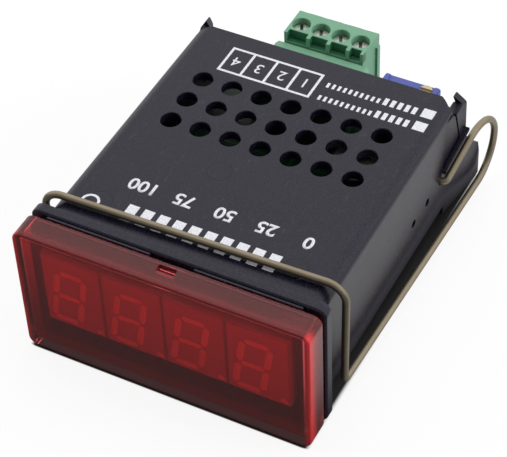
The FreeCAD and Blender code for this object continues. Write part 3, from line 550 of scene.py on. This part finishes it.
WIRE_RADIUS = 0.585 * MM
WIRE_ROUNDNESS = 6
HOOK = Vector(next(joint["pos_m"] for joint in frame["joints"] if joint["name"] == "clip_swing"))
TIP_X = 21.2 * MM
BEND_X = 23.2 * MM
BEND_RADIUS = 0.9 * MM
LEG_ANGLE = math.radians(26.5)
LOOP_REAR = 58.3 * MM
LOOP_TOP_X = 25.2 * MM
LOOP_LOW_X = 25.0 * MM
LOOP_LOW_Z = -9.8 * MM
LOOP_RADIUS = 5.8 * MM
LEG_FRONT_X = 24.0 * MM
LEG_FRONT_Z = -8.5 * MM
RIGHT_LEG_Y = 4.1 * MM
LEFT_LEG_Y = 2.65 * MM
BAR_END_X = 24.4 * MM
RIGHT_BAR_Y = 3.9 * MM
LEFT_BAR_Y = 2.65 * MM
BAR_Z = 11.65 * MM
BAR_BEND = 3.0 * MM
BEND_STEP = math.radians(6)


def clip_side(sign, leg_y, bar_y):
    """Corners of one side of the clip with their bend radii, from the hook tip to the crossbar."""
    loop_top_z = HOOK.z + (LOOP_REAR - HOOK.y) * math.tan(LEG_ANGLE)
    return [
        (Vector((sign * TIP_X, HOOK.y, HOOK.z)), 0),
        (Vector((sign * BEND_X, HOOK.y, HOOK.z)), BEND_RADIUS),
        (Vector((sign * LOOP_TOP_X, LOOP_REAR, loop_top_z)), LOOP_RADIUS),
        (Vector((sign * LOOP_LOW_X, LOOP_REAR, LOOP_LOW_Z)), LOOP_RADIUS),
        (Vector((sign * LEG_FRONT_X, leg_y, LEG_FRONT_Z)), BEND_RADIUS),
        (Vector((sign * BAR_END_X, bar_y, BAR_Z)), BAR_BEND),
    ]


def bent_line(name, corners):
    """Line of straight runs with a true arc at each inner corner, drawn from one point."""
    put_down()
    here = corners[0][0]
    bpy.ops.mesh.primitive_plane_add(size=MM, location=here)
    line = settle(bpy.context.object, name)
    bpy.ops.object.mode_set(mode="EDIT")
    bpy.ops.mesh.select_mode(type="VERT")
    bpy.ops.mesh.select_all(action="SELECT")
    bpy.ops.mesh.merge(type="CENTER")
    for at in range(1, len(corners) - 1):
        corner, bend = corners[at]
        back = (corners[at - 1][0] - corner).normalized()
        ahead = (corners[at + 1][0] - corner).normalized()
        half_angle = back.angle(ahead) / 2
        reach = bend / math.tan(half_angle)
        centre = corner + (back + ahead).normalized() * bend / math.sin(half_angle)
        turn = math.pi - 2 * half_angle
        start = corner + back * reach
        bpy.ops.mesh.extrude_vertices_move(TRANSFORM_OT_translate={"value": start - here})
        bpy.ops.mesh.spin(steps=math.ceil(turn / BEND_STEP), angle=turn, center=centre,
                          axis=back.cross(ahead))
        here = corner + ahead * reach
    bpy.ops.mesh.extrude_vertices_move(TRANSFORM_OT_translate={"value": corners[-1][0] - here})
    return line


def make_clip():
    """Round wire, bent in one piece from the right hook over the crossbar to the left hook."""
    corners = clip_side(1, RIGHT_LEG_Y, RIGHT_BAR_Y) + clip_side(-1, LEFT_LEG_Y, LEFT_BAR_Y)[::-1]
    take(bent_line("clip_wire", corners))
    bpy.ops.object.convert(target="CURVE")
    wire = bpy.context.object.data
    wire.fill_mode = "FULL"
    wire.bevel_depth = WIRE_RADIUS
    wire.bevel_resolution = WIRE_ROUNDNESS
    wire.use_fill_caps = True
    bpy.ops.object.convert(target="MESH")
    clip = bpy.context.object
    merge_points(clip)
    smooth(clip)
    return clip


def clip_metal():
    """Drawn spring wire, satin bronze with duller patches."""
    dark, pale = colour(0.27, 0.225, 0.155), colour(0.37, 0.31, 0.225)
    finish, start = new_finish("clip metal")
    patches = start.noise(patch=3 * MM, detail=3.0)
    streaks = start.noise(patch=0.15 * MM)
    close_finish(start, {"Base Color": patches.mix(dark, pale), "Metallic": 0.9,
                         "Roughness": patches.between(0.30, 0.42),
                         "Normal": streaks.bump(depth=0.008 * MM, strength=0.4)})
    return finish


# Print on the roof

INK = 0.02 * MM
INK_LINE = 0.42 * MM
LEGEND_LOW = (-14.6 * MM, 38.44 * MM)
LEGEND_HIGH = (1.5 * MM, 44.37 * MM)
LEGEND_CELLS = 4
LEGEND_FIGURE = 2.2 * MM
SQUARE_LEFT = 18.75 * MM
SQUARE_SIDE = 2.0 * MM
LINE_FRONTS = [38.7 * MM, 41.85 * MM]
FINE_TICK_LEFT = 2.8 * MM
FINE_TICK_WIDTH = 0.45 * MM
FINE_TICK_DEPTH = 1.1 * MM
FINE_TICK_PITCH = 0.95 * MM
FINE_TICKS = 10
BOLD_TICK_LEFT = 12.4 * MM
BOLD_TICK_WIDTH = 0.7 * MM
BOLD_TICK_DEPTH = 1.6 * MM
BOLD_TICK_PITCH = 1.2 * MM
BOLD_TICKS = 5
SCALE_FIGURES = ["0", "25", "50", "75", "100"]
SCALE_WEIGHT = 0.03     # share of the height
SCALE_FRONT = 9.2 * MM
SCALE_HEIGHT = 2.4 * MM
SCALE_LEFT = -11.8 * MM
SCALE_RIGHT = 15.4 * MM
BLOCK_LEFT = -11.8 * MM
BLOCK_FRONT = 2.9 * MM
BLOCK_WIDTH = 1.7 * MM
BLOCK_DEPTH = 3.4 * MM
BLOCK_PITCH = 2.6 * MM
BLOCKS = 10
RING_PLACE = (-17.5 * MM, 4.3 * MM, CASE_TOP)
RING_RADIUS = 1.5 * MM
RING_SIDES = 40
FIGURE_SHARE = 0.73     # height of a figure in its type size
FIGURE_STEPS = 4
FIGURE_FINEST = 0.01 * MM


def raise_ink(piece):
    """Gives flat print its thickness."""
    apply_modifier(piece, "SOLIDIFY", {"thickness": INK, "offset": 1.0})
    return piece


def field(name, left, front, width, depth):
    """Printed rectangle on the roof."""
    return raise_ink(sheet_of(name, (left, front), (left + width, front + depth), CASE_TOP))


def make_figure(words, height, across, depth, weight=0.0):
    """Plain number read from the rear, its middle at a place on the roof."""
    put_down()
    bpy.ops.object.text_add(location=(0, 0, 0))
    letters = bpy.context.object.data
    letters.body = words
    letters.align_x = "CENTER"
    letters.align_y = "CENTER"
    letters.size = height / FIGURE_SHARE
    letters.offset = height * weight
    letters.resolution_u = FIGURE_STEPS
    bpy.ops.object.convert(target="MESH")
    figure = bpy.context.object
    figure.rotation_euler = (0, 0, math.pi)
    figure.location = (across, depth, CASE_TOP)
    settle(figure, "figure")
    merge_points(figure, FIGURE_FINEST)
    bpy.ops.mesh.dissolve_degenerate(threshold=FIGURE_FINEST)
    return raise_ink(figure)


def in_cell(face):
    """Test for faces of the legend inside its outline."""
    middle = face.calc_center_median()
    inside_x = LEGEND_LOW[0] + INK_LINE < middle.x < LEGEND_HIGH[0] - INK_LINE
    inside_y = LEGEND_LOW[1] + INK_LINE < middle.y < LEGEND_HIGH[1] - INK_LINE
    return inside_x and inside_y


def make_legend():
    """Outlined row of cells, each with a plain number."""
    legend = sheet_of("legend_box", LEGEND_LOW, LEGEND_HIGH, CASE_TOP)
    choose(legend, "FACE", facing(UP))
    bpy.ops.mesh.inset(thickness=INK_LINE / 2)
    cell = (LEGEND_HIGH[0] - LEGEND_LOW[0]) / LEGEND_CELLS
    for number in range(1, LEGEND_CELLS):
        bpy.ops.mesh.select_all(action="SELECT")
        bpy.ops.mesh.bisect(plane_co=(LEGEND_LOW[0] + cell * number, 0, CASE_TOP), plane_no=RIGHT)
    choose(legend, "FACE", in_cell)
    bpy.ops.mesh.inset(thickness=INK_LINE / 2, use_individual=True)
    bpy.ops.mesh.delete(type="FACE")
    middle = (LEGEND_LOW[1] + LEGEND_HIGH[1]) / 2
    figures = [make_figure(str(number + 1), LEGEND_FIGURE, LEGEND_HIGH[0] - cell * (number + 0.5), middle)
               for number in range(LEGEND_CELLS)]
    return [raise_ink(legend)] + figures


def make_ring():
    """Printed ring in the front left corner of the roof."""
    put_down()
    bpy.ops.mesh.primitive_circle_add(vertices=RING_SIDES, radius=RING_RADIUS, fill_type="NGON",
                                      location=RING_PLACE)
    ring = settle(bpy.context.object, "ring")
    choose(ring, "FACE", facing(UP))
    bpy.ops.mesh.inset(thickness=INK_LINE)
    bpy.ops.mesh.delete(type="FACE")
    return raise_ink(ring)


def make_print():
    """Numbered cells, ticks with a square at the end of each row, a scale with its blocks, and a ring."""
    pieces = make_legend() + [make_ring()]
    for front in LINE_FRONTS:
        fine = field("fine_tick", FINE_TICK_LEFT, front, FINE_TICK_WIDTH, FINE_TICK_DEPTH)
        bold = field("bold_tick", BOLD_TICK_LEFT, front, BOLD_TICK_WIDTH, BOLD_TICK_DEPTH)
        pieces += row_of(fine, FINE_TICKS, RIGHT * FINE_TICK_PITCH)
        pieces += row_of(bold, BOLD_TICKS, RIGHT * BOLD_TICK_PITCH)
        pieces.append(field("square", SQUARE_LEFT, front, SQUARE_SIDE, SQUARE_SIDE))
    step = (SCALE_RIGHT - SCALE_LEFT) / (len(SCALE_FIGURES) - 1)
    middle = SCALE_FRONT + SCALE_HEIGHT / 2
    for at, words in enumerate(SCALE_FIGURES):
        pieces.append(make_figure(words, SCALE_HEIGHT, SCALE_RIGHT - at * step, middle, SCALE_WEIGHT))
    first_block = field("block", BLOCK_LEFT, BLOCK_FRONT, BLOCK_WIDTH, BLOCK_DEPTH)
    pieces += row_of(first_block, BLOCKS, RIGHT * BLOCK_PITCH)
    return join(pieces, "roof_print")


def print_ink():
    """White ink, a little thin in places."""
    thin, full = colour(0.60, 0.60, 0.65), colour(0.76, 0.76, 0.81)
    finish, start = new_finish("print ink")
    cover = start.noise(patch=0.25 * MM, detail=3.0).ramp(low=0.35, high=0.65)
    close_finish(start, {"Base Color": cover.mix(thin, full), "Roughness": cover.between(0.55, 0.65)})
    return finish


# Boards, digits and the parts on the boards

DIGIT_LOW, DIGIT_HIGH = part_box("led_digit_1")
DIGIT_MIDDLE = (DIGIT_LOW + DIGIT_HIGH) / 2
DIGIT_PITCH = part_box("led_digit_2")[0].x - DIGIT_LOW.x
DIGIT_EDGE = 0.25 * MM
STROKE_FLOOR = 0.24 * MM
STROKE_WALL = 0.1 * MM
RUN_FIELD = 7.0 * MM
RUN_TURN = 0.5
RUN_PITCH = 0.635 * MM
RUN_EDGE = 0.42 * MM
RUN_BLUR = 0.06 * MM
METAL_DULLING = 0.15
MOULDING_DULLING = 0.1


def board_mask():
    """Green solder mask over paler runs of copper, which turn from field to field."""
    dark, pale = colour(0.003, 0.016, 0.007), colour(0.004, 0.022, 0.010)
    over_copper = colour(0.008, 0.042, 0.018)
    finish, start = new_finish("board mask")
    across, depth = start.place().parts()[:2]
    patch = start.noise(RUN_FIELD, detail=0.0)
    lengthwise = patch > RUN_TURN
    inside_field = (patch - RUN_TURN).size().ramp(low=0.02, high=0.03)
    runs_x = across.fold(RUN_PITCH).ramp(low=RUN_EDGE, high=RUN_EDGE + RUN_BLUR)
    runs_y = depth.fold(RUN_PITCH).ramp(low=RUN_EDGE, high=RUN_EDGE + RUN_BLUR)
    copper = (runs_x * lengthwise + runs_y * (1 - lengthwise)) * inside_field
    mottle = start.noise(patch=0.8 * MM)
    close_finish(start, {"Base Color": copper.mix(mottle.mix(dark, pale), over_copper),
                         "Roughness": mottle.between(0.28, 0.40), "Specular IOR Level": 0.25,
                         "Normal": copper.bump(depth=0.03 * MM, strength=0.6)})
    return finish


def digit_face():
    """Grey-red display face with brighter strokes let into it, and darker sides."""
    dark, pale = colour(0.44, 0.37, 0.37), colour(0.49, 0.41, 0.41)
    stroke = colour(0.84, 0.66, 0.60)
    side = colour(0.29, 0.25, 0.24)
    finish, start = new_finish("digit face")
    across, depth, height = start.place().parts()
    dust = start.noise(patch=0.4 * MM)
    reach = DIGIT_HIGH - DIGIT_MIDDLE
    between_sides = (across - DIGIT_MIDDLE.x).fold(DIGIT_PITCH / 2) < reach.x - DIGIT_EDGE
    between_ends = (height - DIGIT_MIDDLE.z).size() < reach.z - DIGIT_EDGE
    on_face = between_sides * between_ends * (depth < DIGIT_LOW.y + STROKE_FLOOR)
    in_stroke = on_face * (depth > DIGIT_LOW.y + STROKE_WALL)
    front = in_stroke.mix(dust.mix(dark, pale), stroke)
    close_finish(start, {"Base Color": on_face.mix(side, front),
                         "Roughness": dust.between(0.5, 0.6),
                         "Normal": dust.bump(depth=0.01 * MM, strength=0.3)})
    return finish


def plain_metal(name, dark, pale, roughness):
    """Bare metal, a little uneven."""
    finish, start = new_finish(name)
    patches = start.noise(patch=0.7 * MM, detail=3.0)
    scratches = start.noise(patch=0.08 * MM)
    close_finish(start, {"Base Color": patches.mix(dark, pale), "Metallic": 1.0,
                         "Roughness": roughness + patches * METAL_DULLING,
                         "Normal": scratches.bump(depth=0.006 * MM, strength=0.4)})
    return finish


def moulding(name, dark, pale, roughness, grain):
    """Plain moulded plastic with a fine grain."""
    finish, start = new_finish(name)
    patches = start.noise(patch=1.8 * MM, detail=3.0)
    close_finish(start, {"Base Color": patches.mix(dark, pale),
                         "Roughness": roughness + patches * MOULDING_DULLING,
                         "Normal": start.noise(grain).bump(depth=0.012 * MM, strength=0.4)})
    return finish


# Terminal plug

PLUG_LOW, PLUG_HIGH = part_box("terminal_plug")
PLUG_MIDDLE_X = (PLUG_LOW.x + PLUG_HIGH.x) / 2
PLUG_INNER_HALF = 6.9 * MM
PLUG_EDGE = 0.1 * MM
POLES = 4
POLE_PITCH = 3.5 * MM
WELL_Y = 54.4 * MM
WELL_FLOOR = 8.32 * MM
WELL_RADIUS = 1.535 * MM
WELL_RIM = 0.08 * MM
CHAMBER_CEILING = 7.6 * MM
# Where the painted shade between the comb's teeth lies
COMB_FRONT = 51.55 * MM
COMB_REAR = 52.55 * MM
COMB_TOP = 10.38 * MM
COMB_FLOOR = 8.65 * MM
NICK_FRONT = 57.0 * MM
NICK_FLOOR = 9.6 * MM


def plug_outline(edge):
    """Test for the plug's outer edges, without the nicks at its rear and the wells and chambers in it."""
    ends = [end.co for end in edge.verts]
    nick = all(end.y > NICK_FRONT and end.z > NICK_FLOOR for end in ends)
    well = all(abs(end.y - WELL_Y) < WELL_RADIUS + 2 * WELL_RIM for end in ends)
    low = any(end.z < CHAMBER_CEILING for end in ends)
    inside = any(abs(end.x - PLUG_MIDDLE_X) < PLUG_INNER_HALF for end in ends)
    return crease(edge) and not nick and not (inside and (well or low))


def make_plug():
    """Plug with round screw wells and softened outer edges."""
    plug = clean_copy("terminal_plug", "terminal_plug_soft", whole_faces=False)
    first = Vector((PLUG_MIDDLE_X - POLE_PITCH * (POLES - 1) / 2, WELL_Y, PLUG_HIGH.z))
    drill = flared_drill("well_drill", first, WELL_RADIUS, PLUG_HIGH.z - WELL_RIM - WELL_FLOOR, WELL_RIM)
    cut_away(plug, join(row_of(drill, POLES, RIGHT * POLE_PITCH), "well_row"))
    round_edges(plug, PLUG_EDGE, plug_outline)
    smooth(plug)
    return plug


def terminal_plastic():
    """Satin green moulding, with painted shade, a darker deeper green, between the teeth of the comb."""
    dark, pale = colour(0.14, 0.315, 0.20), colour(0.165, 0.35, 0.225)
    # Painted shade colour for the comb's hollows
    painted_shade_tint = colour(0.03, 0.15, 0.07)
    finish, start = new_finish("terminal plastic")
    depth, height = start.place().parts()[1:]
    patches = start.noise(patch=1.8 * MM, detail=3.0)
    # Painted shade in the hollows between the comb's teeth
    teeth = (depth > COMB_FRONT) * (depth < COMB_REAR) * (height > COMB_FLOOR) * (height < COMB_TOP)
    close_finish(start, {"Base Color": teeth.mix(patches.mix(dark, pale), painted_shade_tint),
                         "Roughness": patches.between(0.42, 0.52),
                         "Normal": start.noise(patch=0.1 * MM).bump(depth=0.012 * MM, strength=0.4)})
    return finish


# Solids that keep their shape or get softened edges

HEADER_EDGE = 0.1 * MM
TRIMMER_EDGE = 0.1 * MM
ADJUSTER_EDGE = 0.05 * MM
SCREW_EDGE = 0.06 * MM
CAN_EDGE = 0.15 * MM
REGULATOR_EDGE = 0.05 * MM

SOFT_EDGES = {
    "terminal_header": (HEADER_EDGE, crease),
    "trimmer_body": (TRIMMER_EDGE, long_crease),
    "trimmer_screw": (ADJUSTER_EDGE, crease),
    "smoothing_capacitor": (CAN_EDGE, crease),
    "voltage_regulator": (REGULATOR_EDGE, crease),
}
for pole in range(1, POLES + 1):
    SOFT_EDGES["terminal_screw_%d" % pole] = (SCREW_EDGE, crease)


def make_softened(node):
    """Copy of a solid with its sharp edges rounded."""
    width, wanted = SOFT_EDGES[node]
    piece = clean_copy(node, node + "_soft")
    round_edges(piece, width, wanted)
    smooth(piece)
    return piece


def slot_finishes():
    """The finish of each material slot, apart from those of the case, the lens and the clip."""
    return {
        "board_green": board_mask(),
        "digit_dark": digit_face(),
        "terminal_green": terminal_plastic(),
        "chip_black": moulding("chip plastic", colour(0.012, 0.012, 0.013), colour(0.022, 0.022, 0.024),
                               roughness=0.5, grain=0.06 * MM),
        "trimmer_blue": moulding("trimmer plastic", colour(0.06, 0.08, 0.31), colour(0.08, 0.10, 0.37),
                                 roughness=0.3, grain=0.12 * MM),
        "pin_tin": plain_metal("tinned pins", colour(0.62, 0.61, 0.58), colour(0.74, 0.73, 0.70),
                               roughness=0.25),
        "can_metal": plain_metal("drawn can", colour(0.20, 0.20, 0.21), colour(0.28, 0.28, 0.29),
                                 roughness=0.4),
        "screw_steel": plain_metal("plated screws", colour(0.66, 0.62, 0.59), colour(0.80, 0.76, 0.72),
                                   roughness=0.32),
        "contact_brass": plain_metal("stamped brass", colour(0.60, 0.51, 0.32), colour(0.72, 0.63, 0.42),
                                     roughness=0.3),
    }


# Camera, floor and light

CAMERA_AZIMUTH = math.radians(29.268)
CAMERA_ELEVATION = math.radians(45.254)
CAMERA_ROLL = math.radians(-2.7835)
CAMERA_TARGET = Vector((-0.15, 22.08, -3.74)) * MM
CAMERA_DISTANCE = 299.0 * MM
CAMERA_LENS = 136.94
CAMERA_NEAREST = 10.0 * MM
SENSOR_WIDTH = 36.0
FLOOR_WIDTH = 4.0
FLOOR_PALE = colour(0.9, 0.9, 0.9)
# Colour of the painted shadow on the floor
FLOOR_SHADOW = colour(0.03, 0.03, 0.03)
FOOT_HALF_WIDTH = 22.4 * MM
FOOT_FRONT = solid_box[0].y
FOOT_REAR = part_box("housing")[1].y
# Painted shadow on the floor: its reaches round the meter and its levels in reflections
GAP_REACH = 1.5 * MM
GAP_CORE = 0.4          # share of the reach
GAP_FRONT_REACH = 0.4 * MM
SIDE_SHADE_REACH = 6.5 * MM
SHADE_REACH = 40.0 * MM
FRONT_FADE = 25.0 * MM
FRONT_LEVEL = 0.15
REAR_LEVEL = 0.62
FLOOR_GLOW = 0.88
SOFT_LIGHT = 0.6
DIM_FRONT = 0.25
DIM_UP_TO = -0.7        # Y of the direction that the light comes from
FULL_FROM = 0.2
KEY_PLACE = Vector((-0.10, 0.15, 0.60))
KEY_SIDE = 0.5
KEY_POWER = 1.6
FILL_PLACE = Vector((0.5, 0.15, 0.25))
FILL_SIDE = 0.4
FILL_POWER = 2.4
LEFT_PLACE = Vector((-0.5, -0.1, 0.12))
LEFT_POWER = 1.8


def make_camera():
    """Camera at the angle and distance of the photograph."""
    put_down()
    bpy.ops.object.camera_add()
    camera = bpy.context.object
    turn = Matrix.Rotation(CAMERA_AZIMUTH, 4, "Z") @ Matrix.Rotation(math.pi / 2 - CAMERA_ELEVATION, 4, "X")
    turn = turn @ Matrix.Rotation(CAMERA_ROLL, 4, "Z")
    camera.matrix_world = Matrix.Translation(CAMERA_TARGET + turn.to_3x3() @ UP * CAMERA_DISTANCE) @ turn
    camera.data.lens = CAMERA_LENS
    camera.data.sensor_width = SENSOR_WIDTH
    camera.data.clip_start = CAMERA_NEAREST
    bpy.context.scene.camera = camera


def kinds_of_ray(start):
    """1 for rays from the camera, from gloss and through clear pieces, in that order."""
    path = start.node("LightPath").socket.node.outputs
    kinds = ("Is Camera Ray", "Is Glossy Ray", "Is Transmission Ray")
    return [Wire(start.tree, path[kind]) for kind in kinds]


def clear_of_meter(start, side_reach, front_reach, core=0.0):
    """0 on the floor under the meter and in a core round it, rising to 1 at the reach beyond."""
    across, depth = start.place().parts()[:2]
    beside = (across.size() - FOOT_HALF_WIDTH).at_least(0) / side_reach
    before = (FOOT_FRONT - depth).at_least(0) / front_reach
    behind = (depth - FOOT_REAR).at_least(0) / side_reach
    away = beside * beside + before * before + behind * behind
    return away.root().ramp(low=core, high=1)


def floor_paint():
    """White, with painted shadow: dark close to the meter in the gap below its sides, and dim before it and round
    it in reflections.
    """
    finish, start = new_finish("white floor")
    camera, glossy, through = kinds_of_ray(start)
    # Painted contact shadow below the meter's sides, seen by the camera
    gap = clear_of_meter(start, GAP_REACH, GAP_FRONT_REACH, GAP_CORE)
    # Painted shade beside and before the meter, in reflections
    beside = clear_of_meter(start, SIDE_SHADE_REACH, GAP_FRONT_REACH)
    across, depth = start.place().parts()[:2]
    rearward = depth.ramp(low=FOOT_FRONT, high=FOOT_FRONT + FRONT_FADE)
    level = beside * rearward.between(FRONT_LEVEL, REAR_LEVEL)
    at_right = across.ramp(low=FOOT_HALF_WIDTH, high=FOOT_HALF_WIDTH + SIDE_SHADE_REACH) * rearward
    # Painted shade round the meter for rays through clear pieces, lighter at the right
    shaded = clear_of_meter(start, SHADE_REACH, SHADE_REACH).at_least(beside * at_right)
    dull = start.node("BsdfDiffuse", inputs={"Color": camera.mix(level, gap).mix(FLOOR_SHADOW, FLOOR_PALE)})
    reflected = through.mix(level.mix(FLOOR_SHADOW, WHITE), shaded.mix(FLOOR_SHADOW, WHITE))
    glow = start.node("Emission", inputs={"Color": camera.mix(reflected, WHITE), "Strength": 1.0})
    share = camera * gap * FLOOR_GLOW + glossy.at_least(through)
    start.node("OutputMaterial", inputs={"Surface": share.blend(dull, glow)})
    return finish


def make_floor():
    """Wide floor at the level that the meter stands on."""
    put_down()
    bpy.ops.mesh.primitive_plane_add(size=FLOOR_WIDTH, location=(0, 0, solid_box[0].z))
    floor = settle(bpy.context.object, "floor")
    wear(floor, floor_paint())


def make_world():
    """Soft light that comes least from the front, seen as white."""
    world = bpy.data.worlds.new("studio")
    world.use_nodes = True
    world.node_tree.nodes.clear()
    start = Wire(world.node_tree)
    camera, glossy, through = kinds_of_ray(start)
    direction = start.node("TexCoord", output="Generated")
    rearward = direction.parts()[1].ramp(low=DIM_UP_TO, high=FULL_FROM)
    grey = rearward.between(DIM_FRONT, 1).mix(BLACK, WHITE)
    soft = start.node("Background", inputs={"Color": grey, "Strength": SOFT_LIGHT})
    gloss = start.node("Background", inputs={"Color": grey, "Strength": 1.0})
    plain = start.node("Background", inputs={"Color": WHITE, "Strength": 1.0})
    shown = camera.at_least(through).blend(glossy.blend(soft, gloss), plain)
    start.node("OutputWorld", inputs={"Surface": shown})
    bpy.context.scene.world = world


def softbox(name, place, side, power):
    """Square lamp that looks at the meter and is not seen in its gloss."""
    put_down()
    bpy.ops.object.light_add(type="AREA", location=place)
    lamp = bpy.context.object
    lamp.name = name
    lamp.visible_glossy = False
    lamp.data.shape = "SQUARE"
    lamp.data.size = side
    lamp.data.energy = power
    middle = (solid_box[0] + solid_box[1]) / 2
    lamp.rotation_mode = "QUATERNION"
    lamp.rotation_quaternion = (middle - place).to_track_quat("-Z", "Y")


def make_studio():
    """Camera, floor, soft light all round and three lamps."""
    bpy.context.scene.view_settings.view_transform = "Standard"
    make_camera()
    make_floor()
    make_world()
    softbox("key", KEY_PLACE, KEY_SIDE, KEY_POWER)
    softbox("fill", FILL_PLACE, FILL_SIDE, FILL_POWER)
    softbox("left_fill", LEFT_PLACE, FILL_SIDE, LEFT_POWER)


# The meter

dress(make_case(), case_plastic(), "case", ["housing"])
dress(make_lens(), lens_plastic(), "lens", ["front_lens"])
dress(make_clip(), clip_metal(), "clip", ["spring_clip"])
dress(make_print(), print_ink(), "case")

finishes = slot_finishes()
owner = {node: body for body, members in frame["record"]["behaviour"]["bodies"].items() for node in members}
for subpart in frame["record"]["subparts"]:
    node, slot = subpart["node"], subpart["material_slot"]
    if node in SOFT_EDGES:
        dress(make_softened(node), finishes[slot], owner[node], [node])
    elif node == "terminal_plug":
        dress(make_plug(), finishes[slot], owner[node], [node])
    elif slot in finishes:
        wear(solids[node], finishes[slot])

make_studio()
